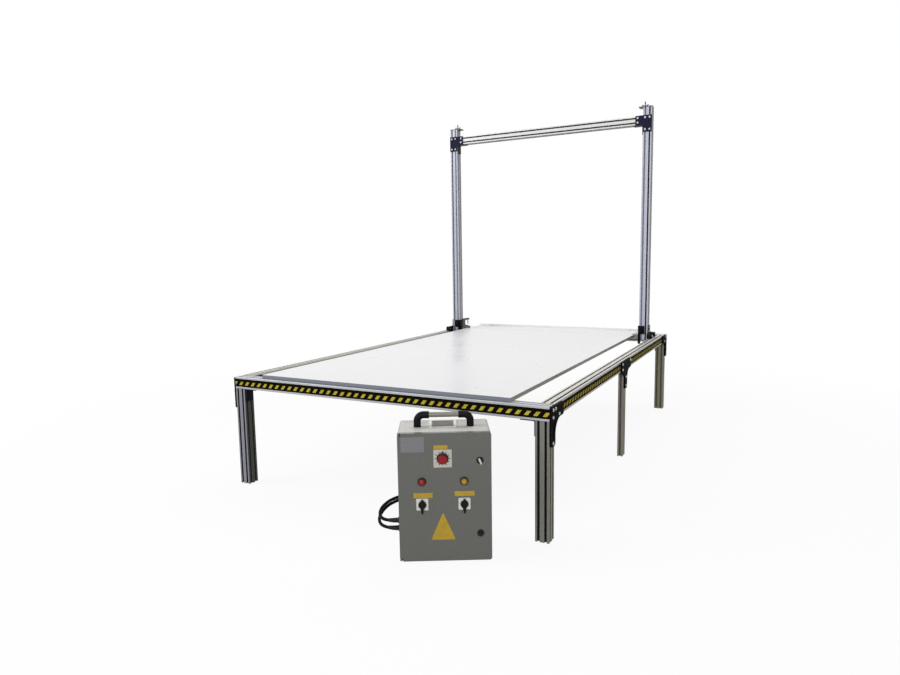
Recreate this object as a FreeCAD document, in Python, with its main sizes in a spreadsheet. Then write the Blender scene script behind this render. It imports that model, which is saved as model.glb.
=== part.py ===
"""Hot wire cutting table for foam blocks, with its control cabinet.

The document holds the driving dimensions in the sheet "Sizes", in millimetres and degrees.
A slotted-profile table carries a gantry on rollers, and the gantry carries two clamped
carriers with the hot wire between them. The power cabinet stands on the floor beside it.

Frame: +Z up, +X to the right along the front beam, +Y from front to back, Z = 0 on the floor.
Table coordinates count Y from the front face of the front beam.
Cabinet coordinates have X to the right, Y into the cabinet from its door, Z up from the floor.
"""
import FreeCAD
import Part

import math
import os

from FreeCAD import Placement, Rotation, Vector

SIZES = {
    # table
    "table_width": 1680.0,
    "table_length": 2620.0,
    "table_height": 560.0,
    "table_front": -1112.0,
    "profile": 60.0,
    "slim_profile": 30.0,
    "slot_pitch": 30.0,
    "slot_opening": 10.4,
    "slot_lip": 2.2,
    "slot_room": 16.0,
    "slot_depth": 10.0,
    "slot_floor": 7.0,
    "profile_bore": 6.8,
    "profile_core": 18.0,
    "profile_rounding": 2.0,
    "middle_leg_setback": 1265.0,
    "bearer_spacing": 450.0,
    "board_width": 1340.0,
    "board_margin": 16.0,
    "board_thickness": 18.0,
    "stop_depth": 30.0,
    "stop_rise": 12.0,
    # brackets and bolts
    "bracket_reach": 150.0,
    "bracket_drop": 159.0,
    "bracket_arm": 46.0,
    "bracket_band": 53.0,
    "bracket_thickness": 10.0,
    "bracket_top_gap": 5.0,
    "bracket_sweep": 62.0,
    "bracket_recess": 4.0,
    "bracket_rim": 7.0,
    "angle_leg": 66.0,
    "angle_width": 48.0,
    "angle_thickness": 5.0,
    "bolt_bore": 8.4,
    "bolt_shank": 8.0,
    "bolt_head": 14.0,
    "bolt_head_rise": 4.5,
    "bolt_socket": 5.0,
    "bolt_grip": 8.0,
    "tape_width": 38.0,
    "tape_thickness": 0.4,
    # gantry
    "gantry_inset": 305.0,
    "rail_clearance": 1.0,
    "upright_foot": 550.0,
    "upright_top": 2145.0,
    "crossbar_top": 2090.0,
    "joint_plate_reach": 110.0,
    "joint_plate_thickness": 6.0,
    "joint_plate_rise": 1.0,
    "top_plate_overhang": 30.0,
    "top_plate_thickness": 6.0,
    "stud_diameter": 8.0,
    "stud_rise": 36.0,
    "wing_span": 44.0,
    # carriages
    "carriage_thickness": 6.0,
    "carriage_rise": 92.0,
    "carriage_drop": 54.0,
    "long_axle_offset": 75.0,
    "short_axle_offset": 40.0,
    "roller_diameter": 36.0,
    "roller_width": 26.0,
    "roller_gap": 0.3,
    "axle_diameter": 8.0,
    "running_clearance": 0.05,
    "key_length": 60.0,
    "key_clearance": 0.3,
    # wire carriers
    "carrier_gap": 0.3,
    "carrier_thickness": 6.0,
    "carrier_foot": 520.0,
    "carrier_top": 648.0,
    "carrier_front_foot": 590.0,
    "knob_height": 622.0,
    "knob_diameter": 34.0,
    "knob_depth": 23.0,
    "knob_lobes": 6.0,
    "knob_screw": 7.6,
    "pin_diameter": 4.0,
    "wire_height": 585.0,
    "wire_setback": 10.0,
    "wire_diameter": 0.8,
    "wire_margin": 2.0,
    "pulley_diameter": 16.0,
    "pulley_flange": 3.0,
    "pulley_width": 7.0,
    "pulley_inset": 33.0,
    "post_thickness": 4.0,
    "post_top": 667.0,
    "post_stem_width": 21.0,
    "spring_diameter": 9.0,
    "spring_length": 34.0,
    "insulator_diameter": 20.0,
    # cabinet
    "cabinet_width": 350.0,
    "cabinet_height": 500.0,
    "cabinet_depth": 200.0,
    "cabinet_right": 540.0,
    "cabinet_forward": 311.0,
    "cabinet_turn": 29.0,
    "cabinet_wall": 2.0,
    "cabinet_lip": 16.0,
    "cabinet_rounding": 10.0,
    "foot_rise": 3.0,
    "foot_diameter": 24.0,
    "door_thickness": 16.0,
    "door_skin": 2.5,
    "door_gap": 2.0,
    "hinge_inset": 4.0,
    "hinge_barrel": 7.0,
    "hinge_pin": 4.0,
    "hinge_length": 10.0,
    "hinge_reach": 12.0,
    "hinge_leaf": 4.0,
    "hinge_notch_width": 12.0,
    "hinge_notch_height": 13.0,
    "handle_spread": 204.0,
    "handle_rise": 46.0,
    "handle_tube": 20.0,
    "handle_elbow": 28.0,
    "handle_bend": 24.0,
    "grip_length": 112.0,
    "handle_setback": 100.0,
    "vent_width": 107.0,
    "vent_depth": 100.0,
    "vent_thickness": 4.0,
    "vent_slots": 7.0,
    "panel_centre": -7.0,
    "switch_spread": 158.0,
    "switch_height": 227.0,
    "switch_plate": 45.0,
    "switch_block": 40.0,
    "switch_depth": 50.0,
    "plate_thickness": 3.0,
    "panel_hole": 22.0,
    "spindle": 6.0,
    "spindle_reach": 24.0,
    "switch_knob": 30.0,
    "lamp_height": 315.0,
    "lamp_diameter": 33.0,
    "lamp_depth": 40.0,
    "dial_height": 403.0,
    "dial_plate": 68.0,
    "dial_knob_diameter": 44.0,
    "lock_offset": 132.0,
    "upper_lock_height": 393.0,
    "lower_lock_height": 110.0,
    "lock_diameter": 28.0,
    "lock_core": 10.0,
    "tongue_length": 36.0,
    "tongue_width": 14.0,
    "tongue_setback": 22.0,
    # cords
    "gland_setback": 60.0,
    "mains_gland_height": 143.0,
    "wire_gland_height": 112.0,
    "gland_length": 12.0,
    "cord_diameter": 12.5,
    "coil_diameter": 168.0,
    "coil_room": 92.0,
}

doc = FreeCAD.newDocument("HotWireCutter")
sheet = doc.addObject("Spreadsheet::Sheet", "Sizes")


def fill_sheet():
    """Write every driving dimension into the sheet with its alias."""
    for row, (alias, value) in enumerate(SIZES.items(), start=1):
        sheet.set(f"A{row}", alias)
        sheet.set(f"B{row}", str(value))
        sheet.setAlias(f"B{row}", alias)
    doc.recompute()


def size(alias):
    """Return a driving dimension from the sheet."""
    return float(sheet.get(alias))


fill_sheet()

UP = Vector(0, 0, 1)
RIGHT = Vector(1, 0, 0)
BACK = Vector(0, 1, 0)
LEFT_SIDE = -1
RIGHT_SIDE = 1


# ---------------------------------------------------------------- placing

def turned(x_axis, y_axis):
    """Rotation that takes local X and Y to the given directions."""
    return Rotation(x_axis, y_axis, x_axis.cross(y_axis), "ZXY")


def placed(x, y, z, rotation=Rotation()):
    """Placement at a point of the table coordinates."""
    return Placement(Vector(x, y + size("table_front"), z), rotation)


def cabinet_frame():
    """Placement of the cabinet coordinates: the foot of the door's front face, mid-width."""
    spot = Vector(size("cabinet_right"), size("table_front") - size("cabinet_forward"), 0)
    return Placement(spot, Rotation(UP, size("cabinet_turn")))


def in_cabinet(x, y, z, rotation=Rotation()):
    """Placement at a point of the cabinet coordinates."""
    return cabinet_frame().multiply(Placement(Vector(x, y, z), rotation))


def along_x():
    """Rotation of a piece drawn upright so that it lies along X."""
    return turned(UP.negative(), BACK)


def along_y():
    """Rotation of a piece drawn upright so that it lies along Y."""
    return turned(RIGHT, UP.negative())


def facing_front():
    """Rotation that stands a flat piece up with its face towards the front."""
    return turned(RIGHT, UP)


def facing_side(side):
    """Rotation that stands a flat piece up with its face towards the left or right."""
    return turned(BACK * side, UP)


# ---------------------------------------------------------------- drawing

def rounded_outline(corners):
    """Closed outline from (x, y, radius) corners, with an arc wherever the radius isn't zero."""
    ends = []
    edges = []
    count = len(corners)
    for index, (x, y, radius) in enumerate(corners):
        point = Vector(x, y, 0)
        before = Vector(*corners[index - 1][:2], 0) - point
        after = Vector(*corners[(index + 1) % count][:2], 0) - point
        if radius == 0:
            ends.append((point, point))
            continue
        before.normalize()
        after.normalize()
        half_angle = before.getAngle(after) / 2
        setback = radius / math.tan(half_angle)
        middle_way = (before + after).normalize()
        centre = point + middle_way * (radius / math.sin(half_angle))
        ends.append((point + before * setback, point + after * setback))
        edges.append(Part.Arc(ends[-1][0], centre - middle_way * radius, ends[-1][1]))
    for index in range(count):
        start = ends[index][1]
        finish = ends[(index + 1) % count][0]
        if start.distanceToPoint(finish) > 1e-6:
            edges.append(Part.LineSegment(start, finish))
    return edges


def rectangle(x, y, width, height, radius=0.0):
    """Outline of a rectangle from its lower left corner."""
    return rounded_outline([
        (x, y, radius),
        (x + width, y, radius),
        (x + width, y + height, radius),
        (x, y + height, radius),
    ])


def circle(x, y, diameter):
    """Outline of a circle."""
    return [Part.Circle(Vector(x, y, 0), UP, diameter / 2)]


def new_body(label):
    """Empty body with its own label."""
    body = doc.addObject("PartDesign::Body", label)
    body.Label = label
    return body


def new_sketch(body, geometry, level=0.0, plane="XY_Plane"):
    """Sketch on one of the body's own planes, lifted by level along the plane's normal."""
    sketch = body.newObject("Sketcher::SketchObject", body.Label + "_sketch")
    support = next(item for item in body.Origin.OriginFeatures if item.Role == plane)
    sketch.AttachmentSupport = [(support, "")]
    sketch.MapMode = "FlatFace"
    sketch.AttachmentOffset = Placement(Vector(0, 0, level), Rotation())
    sketch.addGeometry(geometry, False)
    return sketch


def add_pad(body, geometry, length, level=0.0):
    """Pad an outline upwards from a level. The length is an expression on the sheet."""
    pad = body.newObject("PartDesign::Pad", body.Label + "_pad")
    pad.Profile = new_sketch(body, geometry, level)
    pad.setExpression("Length", length)
    body.Tip = pad
    return pad


def add_pocket(body, geometry, depth, level):
    """Cut an outline downwards from a level. The depth is an expression on the sheet."""
    doc.recompute()
    before = body.Shape.Volume
    pocket = body.newObject("PartDesign::Pocket", body.Label + "_pocket")
    pocket.Profile = new_sketch(body, geometry, level)
    pocket.setExpression("Length", depth)
    body.Tip = pocket
    doc.recompute()
    assert body.Shape.Volume < before, f"{body.Label}: a pocket cut nothing"
    return pocket


def add_turning(body, geometry):
    """Revolve an outline, drawn as (radius, height) in the XZ plane, about the upright axis."""
    turning = body.newObject("PartDesign::Revolution", body.Label + "_turning")
    sketch = new_sketch(body, geometry, plane="XZ_Plane")
    turning.Profile = sketch
    turning.ReferenceAxis = (sketch, ["V_Axis"])
    turning.Angle = 360
    body.Tip = turning
    return turning


def plate(label, geometry, thickness, placement):
    """Flat piece padded from one outline with its holes."""
    body = new_body(label)
    add_pad(body, geometry, thickness)
    body.Placement = placement
    return body


def turned_piece(label, corners, placement):
    """Round piece turned from a closed outline of (radius, height) corners."""
    body = new_body(label)
    add_turning(body, rounded_outline([(radius, height, 0) for radius, height in corners]))
    body.Placement = placement
    return body


def block(label, lengths, placement):
    """Box whose three lengths are expressions on the sheet."""
    box = doc.addObject("Part::Box", label)
    box.Label = label
    for name, length in zip(("Length", "Width", "Height"), lengths):
        box.setExpression(name, length)
    box.Placement = placement
    return box


def rod(label, radius, length, placement):
    """Cylinder whose radius and length are expressions on the sheet."""
    cylinder = doc.addObject("Part::Cylinder", label)
    cylinder.Label = label
    cylinder.setExpression("Radius", radius)
    cylinder.setExpression("Height", length)
    cylinder.Placement = placement
    return cylinder


def fused(label, pieces):
    """One solid made of touching pieces."""
    fusion = doc.addObject("Part::MultiFuse", label)
    fusion.Label = label
    fusion.Shapes = pieces
    fusion.Refine = True
    return fusion


def cut(label, base, tool):
    """Base with a tool taken away."""
    result = doc.addObject("Part::Cut", label)
    result.Label = label
    result.Base = base
    result.Tool = tool
    return result


def group(label, pieces):
    """Sub-part of several separate solids, such as a set of fasteners."""
    compound = doc.addObject("Part::Compound", label)
    compound.Label = label
    compound.Links = pieces
    return compound


def copies(label, pattern, placements):
    """Sub-part of equal solids, one at each placement of the pattern piece."""
    doc.recompute()
    solids = []
    for placement in placements:
        solid = pattern.Shape.copy()
        solid.Placement = placement
        solids.append(solid)
    feature = doc.addObject("Part::Feature", label)
    feature.Label = label
    feature.Shape = Part.makeCompound(solids)
    return feature


# ---------------------------------------------------------------- slotted profile

def slot_corners(start, along, inward, centre):
    """Corners of one T-slot, met while going along a side of the section."""
    opening = size("slot_opening") / 2
    room = size("slot_room") / 2
    floor = size("slot_floor") / 2
    lip = size("slot_lip")
    depth = size("slot_depth")
    shoulder = (lip + depth) / 2
    path = [
        (-opening, 0), (-opening, lip), (-room, lip), (-room, shoulder), (-floor, depth),
        (floor, depth), (room, shoulder), (room, lip), (opening, lip), (opening, 0),
    ]
    points = [start + along * (centre + shift) + inward * rise for shift, rise in path]
    return [(point.x, point.y, 0) for point in points]


def section(width, depth):
    """Outline of a slotted profile centred on the origin, with its bores and core.

    A side as wide as the main profile has two slots, a narrower one has one.
    """
    half_width = width / 2
    half_depth = depth / 2
    pitch = size("slot_pitch")
    sides = [
        (Vector(-half_width, -half_depth, 0), RIGHT, width),
        (Vector(half_width, -half_depth, 0), BACK, depth),
        (Vector(half_width, half_depth, 0), RIGHT.negative(), width),
        (Vector(-half_width, half_depth, 0), BACK.negative(), depth),
    ]
    corners = []
    for start, along, length in sides:
        corners.append((start.x, start.y, size("profile_rounding")))
        inward = UP.cross(along)
        for centre in slot_places(length, pitch):
            corners += slot_corners(start, along, inward, centre)
    outline = rounded_outline(corners)
    for x in slot_places(width, pitch):
        for y in slot_places(depth, pitch):
            outline += circle(x - half_width, y - half_depth, size("profile_bore"))
    if min(width, depth) >= 2 * pitch:
        core = size("profile_core")
        outline += rectangle(-core / 2, -core / 2, core, core)
    return outline


def slot_places(length, pitch):
    """Distances of the slots from one end of a side."""
    count = max(1, round(length / pitch))
    first = (length - pitch * (count - 1)) / 2
    return [first + pitch * index for index in range(count)]


def edge_slot():
    """Distance of the outermost slot from the edge of the main profile."""
    return (size("profile") - size("slot_pitch")) / 2


def bar(label, width, depth, length, placement):
    """Bar of slotted profile, drawn upright and laid by its placement."""
    return plate(label, section(width, depth), length, placement)


# ---------------------------------------------------------------- table

def make_frame():
    """Front and rear beams, the two side rails and the legs."""
    profile = size("profile")
    slim = size("slim_profile")
    half = profile / 2
    half_width = size("table_width") / 2
    beam_height = size("table_height") - half
    rear = size("table_length") - half
    beam = "Sizes.table_width"
    rail = "Sizes.table_length - 2 * Sizes.profile"
    leg = "Sizes.table_height - Sizes.profile"

    bar("front_beam", profile, profile, beam, placed(-half_width, half, beam_height, along_x()))
    bar("rear_beam", profile, profile, beam, placed(-half_width, rear, beam_height, along_x()))
    for name, side in (("left_rail", LEFT_SIDE), ("right_rail", RIGHT_SIDE)):
        spot = placed(side * (half_width - half), profile, beam_height, along_y())
        bar(name, profile, profile, rail, spot)
    for row, y in (("front", half), ("rear", rear)):
        for name, side in (("left", LEFT_SIDE), ("right", RIGHT_SIDE)):
            spot = placed(side * (half_width - half), y, 0)
            bar(f"{row}_{name}_leg", profile, profile, leg, spot)
    middle = placed(half_width - slim / 2, size("middle_leg_setback") + half, 0)
    bar("middle_leg", slim, profile, leg, middle)


def bearer_places():
    """X of the three bearers under the board."""
    return [step * size("bearer_spacing") for step in (-1, 0, 1)]


def make_board():
    """Cutting board with the bearers under it and the stop along its rear edge."""
    profile = size("profile")
    margin = size("board_margin")
    height = size("table_height")
    half_board = size("board_width") / 2
    rail = "Sizes.table_length - 2 * Sizes.profile"
    bearers = []
    for number, x in enumerate(bearer_places(), start=1):
        spot = placed(x, profile, height - profile / 2, along_y())
        bearers.append(bar(f"bearer_{number}", size("slim_profile"), profile, rail, spot))
    group("board_bearers", bearers)
    lengths = ("Sizes.board_width", "Sizes.table_length - 2 * Sizes.board_margin",
               "Sizes.board_thickness")
    block("work_board", lengths, placed(-half_board, margin, height))
    stop_y = size("table_length") - margin - size("stop_depth")
    lengths = ("Sizes.board_width", "Sizes.stop_depth", "Sizes.stop_rise")
    block("rear_stop", lengths, placed(-half_board, stop_y, height + size("board_thickness")))


# ---------------------------------------------------------------- brackets and bolts

def corner_bolt_places():
    """Bolts of a corner bracket: (distance from the table's end, height)."""
    slot = edge_slot()
    upper = size("table_height") - slot
    lower = upper - size("slot_pitch")
    foot = bracket_top() - size("bracket_drop") + slot
    reach = size("bracket_reach")
    return [(slot, upper), (slot + size("slot_pitch"), upper), (reach * 0.6, lower),
            (slot, lower), (slot, foot)]


def bracket_top():
    """Height of the upper edge of the cast brackets."""
    return size("table_height") - size("bracket_top_gap")


def corner_bracket(label, side, end):
    """Cast bracket over a corner of the table, on the outer side of beam, rail and leg.

    The outline is an L with a deep sweep between its arms. A shallow recess leaves a rim and
    bolt pads standing. end is 1 at the front and -1 at the rear.
    """
    mirror = side * end
    arm = size("bracket_arm")
    reach = size("bracket_reach")
    top = bracket_top()
    foot = top - size("bracket_drop")
    tail = top - size("bracket_band")
    corners = [(0, top, 3), (0, foot, 10), (arm, foot, 14), (arm, tail, size("bracket_sweep")),
               (reach, tail, 10), (reach, top, 3)]
    outline = rounded_outline([(x * mirror, y, radius) for x, y, radius in corners])
    places = corner_bolt_places()
    for x, y in places:
        outline += circle(x * mirror, y, size("bolt_bore"))
    table_end = 0 if end > 0 else size("table_length")
    spot = placed(side * size("table_width") / 2, table_end, 0, facing_side(side))
    bracket = plate(label, outline, "Sizes.bracket_thickness", spot)
    add_pocket(bracket, bracket_recess(mirror, arm, top), "Sizes.bracket_recess",
               size("bracket_thickness"))
    return bracket


def bracket_recess(mirror, arm, top):
    """Outline of the recess below the bolts, between the rims of a corner bracket."""
    rim = size("bracket_rim")
    upper = top - size("bracket_band") - rim
    lower = top - size("bracket_drop") * 0.78
    corners = [(rim, upper, 3), (rim, lower, 3), (arm - rim, lower, 3), (arm + rim, upper, 3)]
    return rounded_outline([(x * mirror, y, radius) for x, y, radius in corners])


def middle_bolt_places():
    """Bolts of the middle bracket: (distance behind the table's front, height)."""
    slot = edge_slot()
    upper = size("table_height") - slot
    lower = upper - size("slot_pitch")
    leg = size("middle_leg_setback") + slot
    front = size("middle_leg_setback") - size("profile") - slot + 5
    rear = leg + size("bracket_reach") * 0.7
    return [(front, upper), (front, lower), (rear, upper), (leg, lower - 52), (leg, lower - 101)]


def middle_bracket():
    """Cast bracket of the middle leg, swept on its rear side and braced on its front side."""
    leg = size("middle_leg_setback")
    arm = size("bracket_arm")
    top = bracket_top()
    foot = top - size("bracket_drop")
    tail = top - size("bracket_band")
    front = leg - size("profile") - edge_slot() - 5
    rear = leg + size("bracket_reach") - 10
    corners = [(front, top, 3), (front, top - 47, 6), (leg + 2, top - 92, 10), (leg + 2, foot, 6),
               (leg + 2 + arm, foot, 14), (leg + 2 + arm, tail, size("bracket_sweep") - 6),
               (rear, tail, 10), (rear, top, 3)]
    outline = rounded_outline(corners)
    for x, y in middle_bolt_places():
        outline += circle(x, y, size("bolt_bore"))
    spot = placed(size("table_width") / 2, 0, 0, facing_side(RIGHT_SIDE))
    return plate("middle_bracket", outline, "Sizes.bracket_thickness", spot)


def angle_bracket(label, placement):
    """Small bent angle with a hole in each leg, its corner on the local Z axis' foot."""
    leg = size("angle_leg")
    thick = size("angle_thickness")
    body = new_body(label)
    corners = [(0, 0, 2), (leg, 0, 0), (leg, thick, 0), (thick, thick, 4), (thick, leg, 0),
               (0, leg, 0)]
    add_pad(body, rounded_outline(corners), "Sizes.angle_width")
    body.Placement = placement
    return body


def inner_angle_placements():
    """Places of the angles that hold legs, rails and bearers to the beams from inside."""
    inner = size("table_width") / 2 - size("profile")
    beam_under = size("table_height") - size("profile")
    width = size("angle_width")
    far = size("table_length")
    profile = size("profile")
    places = []
    for end, y in ((1, profile), (-1, far - profile)):
        middle = y - end * profile / 2
        for side in (LEFT_SIDE, RIGHT_SIDE):
            under = turned(RIGHT * -side, UP.negative())
            depth = -width / 2 if under.multVec(UP).y > 0 else width / 2
            places.append(placed(side * inner, middle + depth, beam_under, under))
            flat = turned(RIGHT * -side, BACK * end)
            level = middle_level(profile, width, flat)
            places.append(placed(side * inner, y, beam_under + level, flat))
        for x in bearer_places():
            for side in (LEFT_SIDE, RIGHT_SIDE):
                flat = turned(RIGHT * side, BACK * end)
                level = middle_level(profile, width, flat)
                edge = x + side * size("slim_profile") / 2
                places.append(placed(edge, y, beam_under + level, flat))
    return places


def middle_level(profile, width, rotation):
    """Height above a profile's underside at which an angle of this width starts."""
    upwards = rotation.multVec(UP).z > 0
    return profile / 2 + (-width / 2 if upwards else width / 2)


def lifted(z):
    """Placement raised along Z."""
    return Placement(Vector(0, 0, z), Rotation())


def bolt_pattern(label, grip):
    """Button-head bolt, its head above Z = 0, its full shank as long as the grip below it.

    The head has a hexagon socket. The end below the grip is slimmer, as the thread's core.
    """
    head = size("bolt_head") / 2
    rise = size("bolt_head_rise")
    shank = size("bolt_shank") / 2
    core = size("profile_bore") / 2 - 0.1
    reach = grip + size("bolt_grip")
    corners = [(0, -reach), (core, -reach), (core, -grip), (shank, -grip), (shank, 0), (head, 0),
               (head, rise * 0.5), (head * 0.6, rise), (0, rise)]
    blank = turned_piece(label + "_blank", corners, Placement())
    across = size("bolt_socket") / math.sqrt(3)
    turns = [math.radians(60 * step) for step in range(6)]
    hexagon = rounded_outline([(across * math.cos(t), across * math.sin(t), 0) for t in turns])
    socket = plate(label + "_socket", hexagon, "Sizes.bolt_head_rise", lifted(rise * 0.45))
    return cut(label, blank, socket)


def make_brackets():
    """Cast side brackets, inner angles and the bolts of the side brackets."""
    grip = size("bracket_thickness")
    face = size("table_width") / 2 + grip
    far = size("table_length")
    brackets = []
    places = []
    for side, side_name in ((LEFT_SIDE, "left"), (RIGHT_SIDE, "right")):
        for end, end_name in ((1, "front"), (-1, "rear")):
            brackets.append(corner_bracket(f"{end_name}_{side_name}_bracket", side, end))
            for distance, height in corner_bolt_places():
                y = distance if end > 0 else far - distance
                places.append(placed(side * face, y, height, facing_side(side)))
    brackets.append(middle_bracket())
    for y, height in middle_bolt_places():
        places.append(placed(face, y, height, facing_side(RIGHT_SIDE)))
    group("side_brackets", brackets)
    copies("frame_bolts", bolt_pattern("frame_bolt", grip), places)
    copies("inner_brackets", angle_bracket("inner_angle", Placement()), inner_angle_placements())


def make_tape():
    """Hazard tape along the front beam and along both rails between the cast brackets."""
    thickness = size("tape_thickness")
    half_width = size("table_width") / 2
    foot = size("table_height") - size("profile") / 2 - size("tape_width") / 2
    reach = size("bracket_reach")
    far = size("table_length")
    middle_front = min(y for y, _ in middle_bolt_places()) - edge_slot() - 5
    middle_rear = size("middle_leg_setback") + reach - 10
    gap = 2.0
    runs = [
        ("front_tape", -half_width, -thickness, 2 * half_width, thickness),
        ("left_tape", -half_width - thickness, reach + gap, thickness, far - 2 * (reach + gap)),
        ("right_tape_front", half_width, reach + gap, thickness,
         middle_front - gap - reach - gap),
        ("right_tape_rear", half_width, middle_rear + gap, thickness,
         far - reach - 2 * gap - middle_rear),
    ]
    strips = []
    for label, x, y, length, width in runs:
        outline = rectangle(0, 0, length, width)
        strips.append(plate(label, outline, "Sizes.tape_width", placed(x, y, foot)))
    group("hazard_tape", strips)


# ---------------------------------------------------------------- gantry

def upright_centre():
    """Distance of the uprights' centre lines from the table's middle."""
    inset = size("carriage_thickness") + size("rail_clearance")
    return size("table_width") / 2 - 1.5 * size("profile") - inset


def gantry_middle():
    """Table Y of the gantry's middle plane."""
    return size("table_length") - size("gantry_inset")


def gantry_front():
    """Table Y of the gantry's front faces."""
    return gantry_middle() - size("profile") / 2


def make_gantry_frame():
    """Two uprights, the crossbar between them and the L-shaped plates over their joints."""
    profile = size("profile")
    half = profile / 2
    centre = upright_centre()
    middle = gantry_middle()
    bar_height = size("crossbar_top") - half
    height = "Sizes.upright_top - Sizes.upright_foot"
    inner = centre - half
    for name, side in (("left_upright", LEFT_SIDE), ("right_upright", RIGHT_SIDE)):
        bar(name, profile, profile, height, placed(side * centre, middle, size("upright_foot")))
    span = ("Sizes.table_width - 4 * Sizes.profile"
            " - 2 * Sizes.carriage_thickness - 2 * Sizes.rail_clearance")
    bar("crossbar", profile, profile, span, placed(-inner, middle, bar_height, along_x()))

    plates = []
    for name, side in (("left_joint_plate", LEFT_SIDE), ("right_joint_plate", RIGHT_SIDE)):
        reach = size("joint_plate_reach")
        outer = side * (centre + half)
        top = size("crossbar_top") + size("joint_plate_rise")
        steps = [(0, 0, 2), (-reach, 0, 2), (-reach, -profile - 4, 2), (-profile, -profile - 4, 8),
                 (-profile, -reach, 2), (0, -reach, 2)]
        outline = rounded_outline([(side * x, y, radius) for x, y, radius in steps])
        for x, y in joint_bolt_places():
            outline += circle(side * x, y, size("bolt_bore"))
        spot = placed(outer, gantry_front(), top, facing_front())
        plates.append(plate(name, outline, "Sizes.joint_plate_thickness", spot))
    group("joint_plates", plates)

    under = size("crossbar_top") - profile
    width = size("angle_width")
    angles = []
    for side in (LEFT_SIDE, RIGHT_SIDE):
        rotation = turned(RIGHT * -side, UP.negative())
        shift = width / 2 if rotation.multVec(UP).y < 0 else -width / 2
        angles.append(placed(side * inner, middle + shift, under, rotation))
    copies("crossbar_brackets", angle_bracket("crossbar_angle", Placement()), angles)


def joint_bolt_places():
    """Bolts of a joint plate from its outer upper corner, over the slots of the profiles."""
    rise = size("joint_plate_rise")
    slot = edge_slot()
    second = slot + size("slot_pitch")
    reach = size("joint_plate_reach")
    far = reach - slot
    return [(-slot, -rise - slot), (-second, -rise - slot), (-slot, -far), (-second, -far),
            (-far, -rise - slot), (-far, -rise - second)]


def make_gantry_tops():
    """End plate on each upright with its stud and wing nut."""
    profile = size("profile")
    half = profile / 2
    overhang = size("top_plate_overhang")
    top = size("upright_top")
    middle = gantry_middle()
    stud_x = upright_centre() - half + 8
    plates = []
    studs = []
    for name, side in (("left", LEFT_SIDE), ("right", RIGHT_SIDE)):
        outer = upright_centre() + half
        outline = rectangle(min(side * outer, side * (outer - profile - overhang)),
                            -half, profile + overhang, profile, 3)
        spot = placed(0, middle, top)
        plates.append(plate(f"{name}_top_plate", outline, "Sizes.top_plate_thickness", spot))
        stand = placed(side * stud_x, middle, top + size("top_plate_thickness"))
        studs.append(stud_with_nut(f"{name}_stud", stand))
    group("upright_caps", plates + studs)


def stud_with_nut(label, placement):
    """Stud with a wing nut run down to the plate, the wings along X."""
    body = new_body(label)
    radius = size("stud_diameter") / 2
    boss = radius * 1.9
    rise = size("stud_rise")
    profile = [(0, 0), (boss, 0), (boss * 0.8, 9), (radius, 9), (radius, rise - 2),
               (radius - 1.5, rise), (0, rise)]
    add_turning(body, rounded_outline([(x, z, 0) for x, z in profile]))
    doc.recompute()
    wing_sketch = []
    span = size("wing_span") / 2
    for side in (-1, 1):
        tip = [(side * radius, 2, 0), (side * span, 10, 3), (side * span, 20, 3),
               (side * boss, 9, 0), (side * radius, 9, 0)]
        wing_sketch += rounded_outline(tip)
    wings = body.newObject("PartDesign::Pad", label + "_wings")
    wings.Profile = new_sketch(body, wing_sketch, plane="XZ_Plane")
    wings.Length = 3.0
    wings.Midplane = True
    body.Tip = wings
    body.Placement = placement
    return body


# ---------------------------------------------------------------- carriages

def axle_height():
    """Height of the roller axles, the rollers standing just clear of the rails."""
    return size("table_height") + size("roller_gap") + size("roller_diameter") / 2


def axle_places():
    """Axles of a carriage along its own X, which the two carriages point in opposite ways."""
    return {"near": -size("short_axle_offset"), "far": size("long_axle_offset")}


def carriage_plate(label, side):
    """Plate between upright and rail, with an ear for each axle and a tab up the upright."""
    axles = axle_places()
    near = axles["near"]
    far = axles["far"]
    ear = size("roller_diameter") / 2 + 3
    axle = axle_height()
    foot = size("table_height") - size("carriage_drop")
    top = size("table_height") + size("carriage_rise")
    tab = size("profile") / 2
    corners = [(near + 5, foot, 8), (far - 25, foot, 8), (far - 5, axle - ear, 10),
               (far + ear, axle - ear, ear - 1), (far + ear, axle + ear, ear - 1),
               (tab, axle + ear, 10), (tab, top, 8), (-tab, top, 8), (-tab, axle + ear, 6),
               (near - ear, axle + ear, ear - 1), (near - ear, axle - ear, ear - 1),
               (near, axle - ear, 5)]
    outline = rounded_outline(corners)
    for x in axles.values():
        outline += circle(x, axle, size("axle_diameter"))
    for x, z in carriage_bolt_places():
        outline += circle(x, z, size("bolt_bore"))
    spot = placed(side * (upright_centre() + size("profile") / 2), gantry_middle(), 0,
                  facing_side(side))
    return plate(label, outline, "Sizes.carriage_thickness", spot)


def carriage_bolt_places():
    """Bolts that hold a carriage to its upright: (Y from the upright's middle, height)."""
    slot = size("slot_pitch") / 2
    top = size("table_height") + size("carriage_rise")
    return [(-slot, top - 14), (slot, top - 14), (-slot, top - 42), (slot, top - 42)]


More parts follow.
